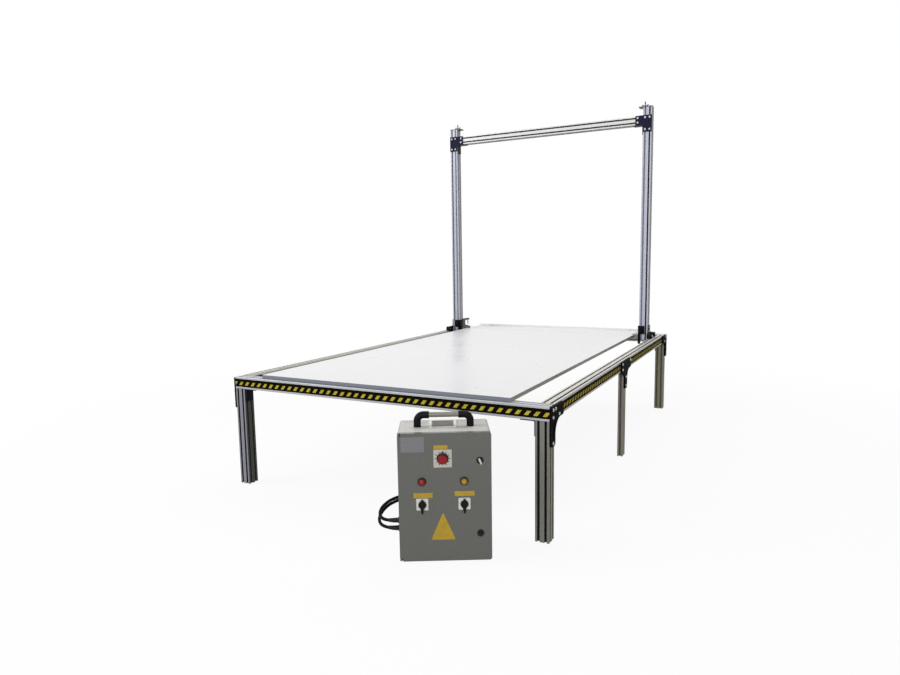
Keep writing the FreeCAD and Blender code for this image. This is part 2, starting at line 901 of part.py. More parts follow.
def make_carriages():
    """Carriage plates, axles, rollers and the keys that run in the rails' inner slots."""
    plates = []
    axles = []
    keys = []
    outer = upright_centre() + size("profile") / 2
    middle = gantry_middle()
    thickness = size("carriage_thickness")
    roller_start = thickness + 1.0
    for name, side in (("left", LEFT_SIDE), ("right", RIGHT_SIDE)):
        plates.append(carriage_plate(f"{name}_carriage", side))
        for reach, x in axle_places().items():
            y = middle + side * x
            spot = placed(side * outer, y, axle_height(), facing_side(side))
            axles.append(axle_bolt(f"{name}_{reach}_axle", roller_start, spot))
            end = "front" if y < middle else "rear"
            spot = placed(side * (outer + roller_start), y, axle_height(), facing_side(side))
            roller(f"{end}_{name}_roller", spot)
        keys.append(guide_key(f"{name}_key", side, outer + thickness))
    group("carriage_plates", plates)
    group("roller_axles", axles)
    group("guide_keys", keys)
    places = []
    for side in (LEFT_SIDE, RIGHT_SIDE):
        for y, z in carriage_bolt_places():
            face = side * (outer + thickness)
            places.append(placed(face, middle + y, z, facing_side(side)))
        for x, z in joint_bolt_places():
            level = size("crossbar_top") + size("joint_plate_rise") + z
            front = gantry_front() - size("joint_plate_thickness")
            places.append(placed(side * (outer + x), front, level, facing_front()))
    copies("gantry_bolts", bolt_pattern("gantry_bolt", thickness), places)


def axle_bolt(label, roller_start, placement):
    """Shoulder bolt through the carriage plate that carries a roller, head outermost."""
    radius = size("axle_diameter") / 2
    end = roller_start + size("roller_width") + 0.5
    corners = [(0, 0), (radius, 0), (radius, size("carriage_thickness")),
               (radius + 3, size("carriage_thickness")), (radius + 3, roller_start - 0.4),
               (radius, roller_start - 0.4), (radius, end), (radius + 3, end),
               (radius + 3, end + 5), (0, end + 5)]
    return turned_piece(label, corners, placement)


def roller(label, placement):
    """Roller with dished faces and a crowned tread, turned about its axle."""
    bore = size("axle_diameter") / 2 + size("running_clearance")
    radius = size("roller_diameter") / 2
    width = size("roller_width")
    dish = 3.0
    corners = [(bore, 0), (bore + 4, 0), (bore + 4, dish), (radius - 4, dish), (radius - 4, 0),
               (radius - 1, 0), (radius, 1), (radius, width - 1), (radius - 1, width),
               (radius - 4, width), (radius - 4, width - dish), (bore + 4, width - dish),
               (bore + 4, width), (bore, width)]
    return turned_piece(label, corners, placement)


def guide_key(label, side, face):
    """Key with a T head that slides in the lower inner slot of a rail."""
    gap = size("key_clearance")
    neck = size("slot_opening") / 2 - gap
    head = size("slot_room") / 2 - gap - 0.7
    clear = size("table_width") / 2 - size("profile") - face
    lip = clear + size("slot_lip") + gap
    end = lip + 2.6
    corners = [(0, -neck), (lip, -neck), (lip, -head), (end, -head), (end, head), (lip, head),
               (lip, neck), (0, neck)]
    level = size("table_height") - size("profile") + edge_slot()
    axles = axle_places()
    middle = (axles["near"] + axles["far"]) / 2 - 10 + size("key_length") / 2
    rotation = turned(RIGHT * side, UP)
    spot = placed(side * face, gantry_middle() + side * middle, level, rotation)
    outline = rounded_outline([(x, y, 0) for x, y in corners])
    return plate(label, outline, "Sizes.key_length", spot)


# ---------------------------------------------------------------- wire carriers

def carrier_face():
    """Distance of a carrier's inward face from the table's middle."""
    upright_face = upright_centre() - size("profile") / 2
    return upright_face - size("carrier_gap") - size("carrier_thickness")


def wire_y():
    """Table Y of the wire."""
    return gantry_front() + size("wire_setback")


def carrier_angle(label, side):
    """Angle that wraps an upright's inner front edge, its front leg narrow near the foot."""
    thick = size("carrier_thickness")
    gap = size("carrier_gap")
    foot = size("carrier_foot")
    face = carrier_face()
    front = gantry_front() - gap - thick
    inner_leg = 52.0
    front_leg = 44.0
    corners = [(0, 0, 2), (side * front_leg, 0, 0), (side * front_leg, thick, 0),
               (side * thick, thick, 0), (side * thick, inner_leg, 0), (0, inner_leg, 0)]
    body = new_body(label)
    add_pad(body, rounded_outline(corners), "Sizes.carrier_top - Sizes.carrier_foot")
    body.Placement = placed(side * face, front, foot)
    window = doc.addObject("Part::Box", label + "_window")
    window.Length = front_leg
    window.Width = thick
    window.setExpression("Height", "Sizes.carrier_front_foot - Sizes.carrier_foot")
    kept = thick + 12.0
    start = kept if side > 0 else -kept - front_leg
    window.Placement = placed(side * face + start, front, foot)
    hole = rod(label + "_hole", "Sizes.bolt_bore / 2", "3 * Sizes.carrier_thickness",
               placed(side * knob_x(), front + 2 * thick, size("knob_height"), facing_front()))
    return cut(label, cut(label + "_legs", body, window), hole)


def knob_x():
    """Distance of the knobs' screws from the table's middle, over the uprights' inner slots."""
    return upright_centre() - size("profile") / 2 + edge_slot()


def slot_nut(label, side):
    """Nut that slides in the upright's front slot, under the carrier's knob."""
    height = 24.0
    half = size("slot_room") / 2 - 0.6
    lip = size("slot_lip") + 0.4
    outline = rectangle(-half, -height / 2, 2 * half, height, 1)
    outline += circle(0, 0, size("knob_screw") + 2 * size("running_clearance"))
    spot = placed(side * knob_x(), gantry_front() + lip + 3.4, size("knob_height"),
                  facing_front())
    body = new_body(label)
    add_pad(body, outline, "3.4")
    body.Placement = spot
    return body


def star_knob(label, side):
    """Lobed knob with a hub and the screw that pulls the slot nut up."""
    lobes = round(size("knob_lobes"))
    radius = size("knob_diameter") / 2
    depth = size("knob_depth")
    thick = size("carrier_thickness")
    gap = size("carrier_gap")
    screw = size("knob_screw") / 2
    body = new_body(label)
    reach = 2 * gap + thick + size("slot_lip") + 4.5
    corners = [(0, -reach), (screw, -reach), (screw, 0), (radius * 0.42, 0),
               (radius * 0.42, 6), (radius - 1.5, 7), (radius, 9), (radius, depth - 3),
               (radius - 3, depth), (0, depth + 1)]
    add_turning(body, rounded_outline([(x, z, 0) for x, z in corners]))
    scallop = circle(radius * 1.14, 0, radius * 0.62)
    notch = add_pocket(body, scallop, "Sizes.knob_depth - 4", depth + 1)
    ring = body.newObject("PartDesign::PolarPattern", label + "_lobes")
    ring.Originals = [notch]
    ring.Axis = (notch.Profile[0], ["N_Axis"])
    ring.Angle = 360
    ring.Occurrences = lobes
    body.Tip = ring
    front = gantry_front() - 2 * gap - thick
    body.Placement = placed(side * knob_x(), front, size("knob_height"), facing_front())
    return body


def pulley_centre():
    """Table (X, Z) of the guide pulley."""
    x = -size("board_width") / 2 + size("pulley_inset")
    return x, size("wire_height") + size("pulley_diameter") / 2


def make_wire_post():
    """Bent post on the left carrier with the pulley's pin below and the spring's peg above."""
    face = -carrier_face()
    x, z = pulley_centre()
    thick = size("post_thickness")
    wire_x = x - size("pulley_diameter") / 2
    foot = size("wire_height") - 3
    top = size("post_top")
    stem = face + 14
    width = size("post_stem_width")
    shelf = z + 17
    tip = wire_x + 10
    corners = [(face, foot, 0), (x + 9, foot, 4), (x + 9, z + 9, 6), (stem + width, shelf, 4),
               (stem + width, top - 22, 5), (tip, top - 14, 2), (tip, top, 3),
               (stem, top - 8, 5), (stem, shelf, 6), (face, shelf, 0)]
    outline = rounded_outline([(px - x, pz - z, radius) for px, pz, radius in corners])
    back = wire_y() + size("pulley_width") / 2 + 1.5 + thick
    web = plate("wire_post_web", outline, "Sizes.post_thickness", placed(x, back, z, facing_front()))
    pin = rod("wire_post_pin", "Sizes.pin_diameter / 2",
              "Sizes.post_thickness + Sizes.pulley_width + 3", placed(x, back, z, facing_front()))
    cap = rod("wire_post_cap", "Sizes.pin_diameter / 2 + 1.5", "1",
              placed(x, back - thick - size("pulley_width") - 2.2, z, facing_front()))
    peg = rod("wire_post_peg", "Sizes.pin_diameter / 2",
              "Sizes.post_thickness + Sizes.pulley_width + 1",
              placed(wire_x, back, top - 9, facing_front()))
    return fused("wire_post", [web, pin, cap, peg])


def make_pulley():
    """Grooved pulley that turns the wire upwards."""
    x, z = pulley_centre()
    bore = size("pin_diameter") / 2 + size("running_clearance")
    groove = size("pulley_diameter") / 2 - size("wire_diameter") / 2 - 0.3
    rim = size("pulley_diameter") / 2 + size("pulley_flange")
    width = size("pulley_width")
    corners = [(bore, 0), (rim, 0), (rim, 1.2), (groove, width / 2 - 0.9), (groove, width / 2 + 0.9),
               (rim, width - 1.2), (rim, width), (bore, width)]
    spot = placed(x, wire_y() + width / 2, z, facing_front())
    return turned_piece("guide_pulley", corners, spot)


def make_spring():
    """Close-wound tension spring, its turns as ridges, with a straight hook at each end."""
    x, _ = pulley_centre()
    wire_x = x - size("pulley_diameter") / 2
    top = size("post_top") - 9 - size("pin_diameter") / 2
    hook = 4.0
    radius = size("spring_diameter") / 2
    turns = 9
    length = size("spring_length")
    pitch = length / turns
    foot = top - hook - length
    corners = [(0, -hook), (0.8, -hook), (0.8, 0)]
    for turn in range(turns):
        corners += [(radius - 1, turn * pitch), (radius, (turn + 0.5) * pitch)]
    corners += [(radius - 1, length), (0.8, length), (0.8, length + hook), (0, length + hook)]
    turned_piece("tension_spring", corners, placed(wire_x, wire_y(), foot))
    return foot - hook


def make_insulator():
    """Ribbed insulator on the right carrier with a brass terminal for the wire."""
    radius = size("insulator_diameter") / 2
    length = carrier_face() - size("board_width") / 2 - size("wire_margin")
    rib = length / 5
    corners = [(0, 0)]
    for number in range(3):
        start = number * rib * 1.5
        corners += [(radius, start), (radius, start + rib), (radius - 3, start + rib)]
        if number < 2:
            corners.append((radius - 3, start + rib * 1.5))
    corners += [(radius - 3, length), (0, length)]
    inward = turned(BACK, UP.negative())
    rotation = turned(UP, BACK) if inward.multVec(UP).x > 0 else inward
    spot = placed(carrier_face(), wire_y(), size("wire_height"), rotation)
    body = turned_piece("insulator_body", corners, spot)
    tip = placed(carrier_face() - length, wire_y(), size("wire_height"), rotation)
    terminal = turned_piece("wire_terminal", [(0, 0), (3, 0), (3, 6), (1.5, 7.5), (0, 7.5)], tip)
    return group("wire_insulator", [body, terminal])


def make_wire(spring_foot):
    """Resistance wire from the terminal across the board, round the pulley, to the spring."""
    x, z = pulley_centre()
    radius = size("pulley_diameter") / 2
    right_end = size("board_width") / 2 + size("wire_margin") - 7.5
    y = wire_y()
    level = size("wire_height")
    start = Vector(right_end, y, level)
    bottom = Vector(x, y, level)
    side = Vector(x - radius, y, z)
    bend = Vector(x - radius * math.sin(math.pi / 4), y, z - radius * math.cos(math.pi / 4))
    path = Part.Wire([Part.LineSegment(start, bottom).toShape(),
                      Part.Arc(bottom, bend, side).toShape(),
                      Part.LineSegment(side, Vector(x - radius, y, spring_foot)).toShape()])
    ring = Part.Wire([Part.Circle(start, RIGHT, size("wire_diameter") / 2).toShape()])
    wire = doc.addObject("Part::Feature", "hot_wire")
    wire.Label = "hot_wire"
    wire.Shape = path.makePipeShell([ring], True, False)
    wire.Placement = placed(0, 0, 0)
    return wire


def make_carriers():
    """Both wire carriers with their knobs and what holds and tightens the wire."""
    for name, side in (("left", LEFT_SIDE), ("right", RIGHT_SIDE)):
        angle = carrier_angle(f"{name}_carrier_angle", side)
        group(f"{name}_carrier", [angle, slot_nut(f"{name}_slot_nut", side)])
        star_knob(f"{name}_star_knob", side)
    make_wire_post()
    make_pulley()
    make_insulator()
    make_wire(make_spring())


# ---------------------------------------------------------------- cabinet

def on_door(x, y, z):
    """Placement that faces the front of the cabinet, at a point of its coordinates."""
    return in_cabinet(x, y, z, facing_front())


def make_shell():
    """Sheet housing with a lip turned inwards round its front and holes for the glands."""
    half = size("cabinet_width") / 2
    depth = size("cabinet_depth")
    front = depth - size("door_thickness") - size("door_gap")
    wall = size("cabinet_wall")
    lip = size("cabinet_lip")
    foot = size("foot_rise")
    height = size("cabinet_height") - foot
    rounding = size("cabinet_rounding")
    reach = "Sizes.cabinet_depth - Sizes.door_thickness - Sizes.door_gap"
    body = new_body("housing")
    add_pad(body, rectangle(-half, foot, 2 * half, height, rounding), reach)
    mouth = rectangle(-half + lip, foot + lip, 2 * (half - lip), height - 2 * lip, 3)
    add_pocket(body, mouth, "2 * Sizes.cabinet_wall", front)
    room = rectangle(-half + wall, foot + wall, 2 * (half - wall), height - 2 * wall,
                     rounding - wall)
    add_pocket(body, room, reach + " - 2 * Sizes.cabinet_wall", front - wall)
    body.Placement = on_door(0, depth, 0)
    holes = []
    for name in ("mains", "wire"):
        spot = in_cabinet(-half - wall, size("gland_setback"), size(f"{name}_gland_height"),
                          along_x())
        holes.append(rod(f"{name}_gland_hole", "Sizes.cord_diameter / 2 + 2.2",
                         "3 * Sizes.cabinet_wall", spot))
    cut("cabinet_shell", body, fused("gland_holes", holes))


def hinge_axis():
    """Cabinet (X, Y) of the door's hinge axis."""
    inset = size("hinge_inset")
    return -size("cabinet_width") / 2 + inset, size("door_thickness") - inset


def make_door():
    """Door pan notched and bored for its two hinges, with holes for what it carries."""
    half = size("cabinet_width") / 2
    foot = size("foot_rise")
    top = size("cabinet_height")
    thick = size("door_thickness")
    skin = size("door_skin")
    rounding = size("cabinet_rounding")
    step = -half + size("hinge_notch_width")
    low = foot + size("hinge_notch_height")
    high = top - size("hinge_notch_height")
    outline = rounded_outline([
        (step, foot, 0), (half, foot, rounding), (half, top, rounding), (step, top, 0),
        (step, high, 0), (-half, high, 0), (-half, low, 0), (step, low, 0)])
    for x, z, diameter in door_holes():
        outline += circle(x, z, diameter)
    body = new_body("door_pan")
    add_pad(body, outline, "Sizes.door_thickness")
    wall = size("cabinet_wall")
    room = size("hinge_reach") + 4
    recess = rounded_outline([
        (step + wall, foot + wall, 0), (half - wall, foot + wall, rounding - wall),
        (half - wall, top - wall, rounding - wall), (step + wall, top - wall, 0),
        (step + wall, high - room, 0), (-half + wall, high - room, 0),
        (-half + wall, low + room, 0), (step + wall, low + room, 0)])
    add_pocket(body, recess, "Sizes.door_thickness - Sizes.door_skin", thick - skin)
    body.Placement = on_door(0, thick, 0)
    x, y = hinge_axis()
    reach = size("hinge_reach") + 0.5
    bores = []
    for name, z in (("lower", low), ("upper", high - reach)):
        bores.append(rod(f"{name}_hinge_bore", "Sizes.hinge_pin / 2 + Sizes.running_clearance",
                         "Sizes.hinge_reach + 0.5", in_cabinet(x, y, z)))
    cut("cabinet_door", body, fused("hinge_bores", bores))


def switch_places():
    """Cabinet X of the left and right switch, and of the lamps above them."""
    centre = size("panel_centre")
    spread = size("switch_spread")
    return {"left": centre - spread / 2, "right": centre + spread / 2}


def lock_places():
    """Cabinet (X, Z) of the two locks."""
    x = size("lock_offset")
    return {"upper": (x, size("upper_lock_height")), "lower": (x, size("lower_lock_height"))}


def door_holes():
    """Holes of the door: (X, Z, diameter)."""
    hole = size("panel_hole")
    holes = [(size("panel_centre"), size("dial_height"), hole)]
    for x in switch_places().values():
        holes += [(x, size("switch_height"), hole), (x, size("lamp_height"), hole)]
    holes += [(x, z, hole - 4) for x, z in lock_places().values()]
    return holes


def make_hinges():
    """Fixed knuckles at the housing's left corners, each with a pin into the door."""
    x, y = hinge_axis()
    clear = size("key_clearance")
    length = size("hinge_length")
    reach = size("hinge_reach")
    notch = size("hinge_notch_height")
    low = size("foot_rise") + notch - clear - length
    high = size("cabinet_height") - notch + clear
    hinges = []
    for name, z, start in (("lower", low, low), ("upper", high, high - clear - reach)):
        barrel = rod(f"{name}_barrel", "Sizes.hinge_barrel / 2", "Sizes.hinge_length",
                     in_cabinet(x, y, z))
        pin = rod(f"{name}_pin", "Sizes.hinge_pin / 2",
                  "Sizes.hinge_length + Sizes.key_clearance + Sizes.hinge_reach",
                  in_cabinet(x, y, start))
        lengths = ("Sizes.hinge_leaf", "Sizes.hinge_inset + Sizes.door_gap",
                   "Sizes.hinge_length")
        leaf = block(f"{name}_leaf", lengths, in_cabinet(x - size("hinge_leaf") / 2, y, z))
        hinges.append(fused(f"{name}_hinge", [barrel, pin, leaf]))
    group("door_hinges", hinges)


def make_handle():
    """Grip tube between two elbows that stand on the roof."""
    roof = size("cabinet_height")
    reach = size("handle_spread") / 2
    level = roof + size("handle_rise")
    bend = size("handle_bend")
    grip = size("grip_length") / 2
    y = size("handle_setback")
    pieces = []
    for name, side in (("left", LEFT_SIDE), ("right", RIGHT_SIDE)):
        foot = Vector(side * reach, 0, roof)
        below = Vector(side * reach, 0, level - bend)
        corner = bend * (1 - math.sqrt(0.5))
        middle = Vector(side * (reach - corner), 0, level - corner)
        beside = Vector(side * (reach - bend), 0, level)
        path = Part.Wire([Part.LineSegment(foot, below).toShape(),
                          Part.Arc(below, middle, beside).toShape(),
                          Part.LineSegment(beside, Vector(side * grip, 0, level)).toShape()])
        ring = Part.Wire([Part.Circle(foot, UP, size("handle_elbow") / 2).toShape()])
        elbow = doc.addObject("Part::Feature", f"{name}_elbow")
        elbow.Shape = path.makePipeShell([ring], True, False)
        elbow.Placement = in_cabinet(0, y, 0)
        pieces.append(elbow)
    pieces.append(rod("grip_tube", "Sizes.handle_tube / 2", "Sizes.grip_length",
                      in_cabinet(-grip, y, level, along_x())))
    group("cabinet_handle", pieces)


def make_vent():
    """Raised vent plate on the roof with a row of slots through it."""
    width = size("vent_width")
    depth = size("vent_depth")
    count = round(size("vent_slots"))
    slot = 5.0
    margin = 14.0
    pitch = (depth - 2 * margin - slot) / (count - 1)
    outline = rectangle(-width / 2, -depth / 2, width, depth, 6)
    for number in range(count):
        y = -depth / 2 + margin + number * pitch
        outline += rectangle(-width / 2 + margin, y, width - 2 * margin, slot, 2)
    spot = in_cabinet(-4, size("cabinet_depth") - depth / 2 - 20, size("cabinet_height"))
    plate("top_vent", outline, "Sizes.vent_thickness", spot)


def make_feet():
    """Four round rubber feet under the housing."""
    half = size("cabinet_width") / 2 - size("foot_diameter")
    rise = size("foot_rise")
    radius = size("foot_diameter") / 2
    corners = [(0, 0), (radius - 2, 0), (radius, 2), (radius, rise), (0, rise)]
    feet = []
    for x in (-half, half):
        for y in (size("foot_diameter") + 14, size("cabinet_depth") - size("foot_diameter")):
            feet.append(turned_piece(f"foot_{len(feet) + 1}", corners, in_cabinet(x, y, 0)))
    group("cabinet_feet", feet)


def spindle_bore(label, x, z):
    """Bore for a spindle, from the front of a control into its block."""
    start = size("spindle_reach") + 1
    return rod(label, "Sizes.spindle / 2 + Sizes.running_clearance",
               "Sizes.spindle_reach + Sizes.plate_thickness + 2", on_door(x, start, z))


def switch_base(label, x):
    """Cam switch: square plate on the door, neck through it and contact block behind."""
    z = size("switch_height")
    half = size("switch_plate") / 2
    block_half = size("switch_block") / 2
    depth = size("switch_depth")
    skin = size("door_skin")
    face = plate(label + "_plate", rectangle(-half, -half, 2 * half, 2 * half, 4),
                 "Sizes.plate_thickness", on_door(x, 0, z))
    neck = rod(label + "_neck", "Sizes.panel_hole / 2 - 0.1", "Sizes.door_skin",
               on_door(x, skin, z))
    rear = plate(label + "_block",
                 rectangle(-block_half, -block_half, 2 * block_half, 2 * block_half, 3),
                 "Sizes.switch_depth - Sizes.door_skin", on_door(x, depth, z))
    whole = fused(label + "_whole", [face, neck, rear])
    return cut(label, whole, spindle_bore(label + "_bore", x, z))


def dial_base():
    """Dial plate on the door with the round control behind it."""
    x = size("panel_centre")
    z = size("dial_height")
    half = size("dial_plate") / 2
    face = plate("dial_face", rectangle(-half, -half, 2 * half, 2 * half, 2),
                 "Sizes.plate_thickness / 2", on_door(x, 0, z))
    neck = rod("dial_neck", "Sizes.panel_hole / 2 - 0.1", "Sizes.door_skin",
               on_door(x, size("door_skin"), z))
    rear = rod("dial_control", "Sizes.panel_hole / 2 + 5",
               "Sizes.switch_depth - 12 - Sizes.door_skin",
               on_door(x, size("switch_depth") - 12, z))
    whole = fused("dial_whole", [face, neck, rear])
    return cut("dial_base", whole, spindle_bore("dial_bore", x, z))


def lock_base(label, x, z):
    """Lock's round shield on the door with the sleeve that its core turns in."""
    bore = size("lock_core") / 2 + size("running_clearance")
    shield = size("lock_diameter") / 2
    neck = (size("panel_hole") - 4) / 2 - 0.1
    depth = size("tongue_setback") - 0.5
    rise = size("plate_thickness")
    corners = [(bore, -depth), (neck, -depth), (neck, 0), (shield, 0), (shield, rise * 0.4),
               (shield - 2, rise), (bore, rise)]
    return turned_piece(label, corners, on_door(x, 0, z))


def make_fittings():
    """Fixed parts of the door's controls and locks."""
    fittings = [dial_base()]
    fittings += [switch_base(f"{name}_switch", x) for name, x in switch_places().items()]
    fittings += [lock_base(f"{name}_lock_base", x, z) for name, (x, z) in lock_places().items()]
    group("panel_fittings", fittings)


def make_lamps():
    """Signal lamps: bezel with a domed lens, and the lamp holder behind the door."""
    radius = size("lamp_diameter") / 2
    neck = size("panel_hole") / 2 - 0.1
    depth = size("lamp_depth")
    lens = radius - 2.2
    corners = [(0, -depth), (neck, -depth), (neck, 0), (radius, 0), (radius, 3.5),
               (radius - 1.2, 4.7), (lens, 4.7), (lens, 6.5), (lens * 0.93, 9.6),
               (lens * 0.74, 12.4), (lens * 0.4, 14.2), (0, 14.8)]
    lamps = []
    for name, x in switch_places().items():
        spot = on_door(x, 0, size("lamp_height"))
        lamps.append(turned_piece(f"{name}_lamp", corners, spot))
    group("signal_lamps", lamps)


def make_dial_knob():
    """Round knob with a skirt, a fluted grip and its spindle."""
    face = size("plate_thickness") / 2 + size("key_clearance")
    radius = size("dial_knob_diameter") / 2
    spindle = size("spindle") / 2
    grip = radius - 4.5
    body = new_body("dial_knob")
    corners = [(0, -size("spindle_reach")), (spindle, -size("spindle_reach")), (spindle, face),
               (radius, face), (radius, face + 2), (grip + 0.5, face + 4), (grip, face + 16),
               (grip - 2, face + 18), (0, face + 18)]
    add_turning(body, rounded_outline([(x, z, 0) for x, z in corners]))
    level = face + 19
    flute = add_pocket(body, circle(grip + 0.9, 0, 4), "14", level)
    ring = body.newObject("PartDesign::PolarPattern", "dial_flutes")
    ring.Originals = [flute]
    ring.Axis = (flute.Profile[0], ["N_Axis"])
    ring.Angle = 360
    ring.Occurrences = 18
    body.Tip = ring
    body.Placement = on_door(size("panel_centre"), 0, size("dial_height"))


def make_switch_knobs():
    """Pointer knobs of the two switches, their pointers down."""
    face = size("plate_thickness") + size("key_clearance")
    spindle = size("spindle") / 2
    radius = size("switch_knob") / 2
    corners = [(0, -size("spindle_reach")), (spindle, -size("spindle_reach")), (spindle, face),
               (radius, face), (radius, face + 5), (radius - 2, face + 7), (0, face + 7)]
    for name, x in switch_places().items():
        spot = on_door(x, 0, size("switch_height"))
        disc = turned_piece(f"{name}_knob_disc", corners, spot)
        outline = rounded_outline([(-4.5, 20, 3), (-6, -14, 3), (-3, -31, 2.5), (3, -31, 2.5),
                                   (6, -14, 3), (4.5, 20, 3)])
        grip = plate(f"{name}_knob_grip", outline, "16", on_door(x, -face, size("switch_height")))
        fused(f"{name}_switch_knob", [disc, grip])


def lock_core(label, x, z, front):
    """Core of a lock with its tongue pointing down behind the door and a head in front."""
    core = size("lock_core") / 2
    rise = size("plate_thickness") + size("key_clearance")
    setback = size("tongue_setback")
    tongue = 3.0
    corners = [(0, -setback - tongue), (core, -setback - tongue), (core, rise), (9, rise),
               (9, rise + 3), (8, rise + 4), (0, rise + 4)]
    pieces = [turned_piece(label + "_core", corners, on_door(x, 0, z))]
    half = size("tongue_width") / 2
    outline = rectangle(-half, -size("tongue_length"), 2 * half, size("tongue_length") + half, 5)
    pieces.append(plate(label + "_tongue", outline, str(tongue), on_door(x, setback + tongue, z)))
    pieces.append(plate(label + "_head", front, "12", on_door(x, -rise, z)))
    return fused(label, pieces)


def make_locks():
    """Wing lock above and round lock below."""
    places = lock_places()
    lean = math.radians(22.0)
    corners = [(-3, -12, 2), (3, -12, 2), (3.5, 12, 3), (-3.5, 12, 3)]
    wing = rounded_outline([
        (x * math.cos(lean) - y * math.sin(lean), x * math.sin(lean) + y * math.cos(lean), radius)
        for x, y, radius in corners])
    lock_core("upper_lock", *places["upper"], wing)
    lock_core("lower_lock", *places["lower"], circle(0, 0, 15))


def make_transformer():
    """Heating transformer on the housing's floor: laminated core and coil."""
    floor = size("foot_rise") + size("cabinet_wall")
    y = size("cabinet_depth") - 70
    core = rectangle(-50, 0, 100, 84, 2) + rectangle(-33, 17, 16, 50) + rectangle(17, 17, 16, 50)
    stack = plate("laminations", core, "44", on_door(0, y + 22, floor))
    outline = rectangle(-32, -38, 64, 76, 8) + rectangle(-17.5, -22.5, 35, 45)
    winding = plate("winding", outline, "49", in_cabinet(0, y, floor + 17.5))
    group("transformer", [stack, winding])


# ---------------------------------------------------------------- cords

def make_glands():
    """Cable glands on the housing's left side, each with its neck through the wall."""
    bore = size("cord_diameter") / 2
    wall = size("cabinet_wall")
    length = size("gland_length")
    neck = bore + 2
    nut = bore + 6
    corners = [(bore, -wall - 6), (nut, -wall - 6), (nut, -wall), (neck, -wall), (neck, 0),
               (nut, 0), (nut, length - 6), (nut - 2, length - 5), (bore + 2, length),
               (bore, length)]
    rotation = turned(UP, BACK)
    glands = []
    for name in ("mains", "wire"):
        spot = in_cabinet(-size("cabinet_width") / 2, size("gland_setback"),
                          size(f"{name}_gland_height"), rotation)
        glands.append(turned_piece(f"{name}_gland", corners, spot))
    group("cable_glands", glands)


def cord_path(points):
    """Straight runs through the route's points, joined by arcs as large as the runs allow."""
    edges = []
    last = points[0]
    radii = []
    for before, point, after in zip(points, points[1:], points[2:]):
        inward = before - point
        outward = after - point
        shorter = min(inward.Length, outward.Length)
        inward.normalize()
        outward.normalize()
        half_turn = (math.pi - inward.getAngle(outward)) / 2
        setback = 0.45 * shorter
        radius = setback / math.tan(half_turn)
        radii.append(radius)
        start = point + inward * setback
        finish = point + outward * setback
        bisector = (inward + outward).normalize()
        centre = point + bisector * (radius / math.cos(half_turn))
        edges.append(Part.LineSegment(last, start).toShape())
        edges.append(Part.Arc(start, centre - bisector * radius, finish).toShape())
        last = finish
    edges.append(Part.LineSegment(last, points[-1]).toShape())
    return Part.Wire(edges), radii


def cord_tube(label, route):
    """Solid tube of a cord along its route, given in cabinet coordinates."""
    points = [Vector(*point) for point in route]
    path, radii = cord_path(points)
    radius = size("cord_diameter") / 2
    ring = Part.Wire([Part.Circle(points[0], points[1] - points[0], radius).toShape()])
    tube = doc.addObject("Part::Feature", label)
    tube.Shape = path.makePipeShell([ring], True, False)
    expected = math.pi * radius ** 2 * path.Length
    assert abs(tube.Shape.Volume / expected - 1) < 0.01, f"{label}: the tube's volume is off"
    tube.Placement = cabinet_frame()
    print(f"{label}: length {path.Length:.0f}, radii " + " ".join(f"{r:.0f}" for r in radii))
    return tube


MAINS_ROUTE = [
    (-187, 60, 143), (-217, 60, 142), (-250, 82, 143), (-260, 126, 149), (-250, 170, 158),
    (-222, 208, 168), (-176, 232, 176), (-122, 242, 172), (-72, 250, 141), (-32, 257, 95),
    (4, 265, 53), (42, 272, 26), (83, 275.8, 18.75),
]
WIRE_ROUTE = [
    (-187, 60, 112), (-217, 61, 112), (-252, 84, 115), (-264, 130, 122), (-254, 176, 134),
    (-228, 216, 146), (-190, 248, 152), (-167, 292, 141), (-158, 340, 107), (-157, 390, 63),
    (-161, 438, 30), (-159.5, 482, 18.75),
]
MAINS_COIL = (60, 350)
WIRE_COIL = (-85, 460)
MAINS_TAIL = [(137.5, 352, 6.25), (137, 396, 6.4), (138, 438, 11), (138, 478, 18.2)]
WIRE_TAIL = [(-83, 537.5, 6.25), (-40, 538, 6.4), (0, 538, 9), (38, 538, 12.2)]


def cord_coil(label, centre):
    """Outer shape of a coil of cord that lies on the floor."""
    outer = size("coil_diameter") / 2
    inner = size("coil_room") / 2
    height = 2 * size("cord_diameter")
    rounding = size("cord_diameter") * 0.45
    body = new_body(label)
    corners = [(inner, 0, rounding), (outer, 0, rounding), (outer, height, rounding),
               (inner, height, rounding)]
    add_turning(body, rounded_outline(corners))
    body.Placement = in_cabinet(*centre, 0)


def make_plug():
    """Mains plug with two round pins, lying at the end of its cord."""
    x, y, z = MAINS_TAIL[-1]
    neck = size("cord_diameter") / 2 + 1.5
    spot = in_cabinet(x, y, z, along_y())
    corners = [(0, 0), (neck, 0), (neck + 1, 14), (15, 22), (17.8, 30), (17.8, 46), (16, 50),
               (0, 50)]
    pieces = [turned_piece("plug_body", corners, spot)]
    for number, shift in enumerate((-9.5, 9.5), start=1):
        pieces.append(rod(f"plug_pin_{number}", "Sizes.pin_diameter / 2 + 0.4", "20",
                          in_cabinet(x + shift, y + 49, z, along_y())))
    fused("mains_plug", pieces)


def make_connector():
    """Round in-line connector at the end of the wire's supply cord."""
    x, y, z = WIRE_TAIL[-1]
    neck = size("cord_diameter") / 2 + 1
    corners = [(0, 0), (neck, 0), (neck + 1, 12), (11.5, 16), (11.5, 34), (10, 36), (10, 48),
               (7.5, 48), (7.5, 40), (0, 40)]
    turned_piece("wire_connector", corners, in_cabinet(x, y, z, along_x()))


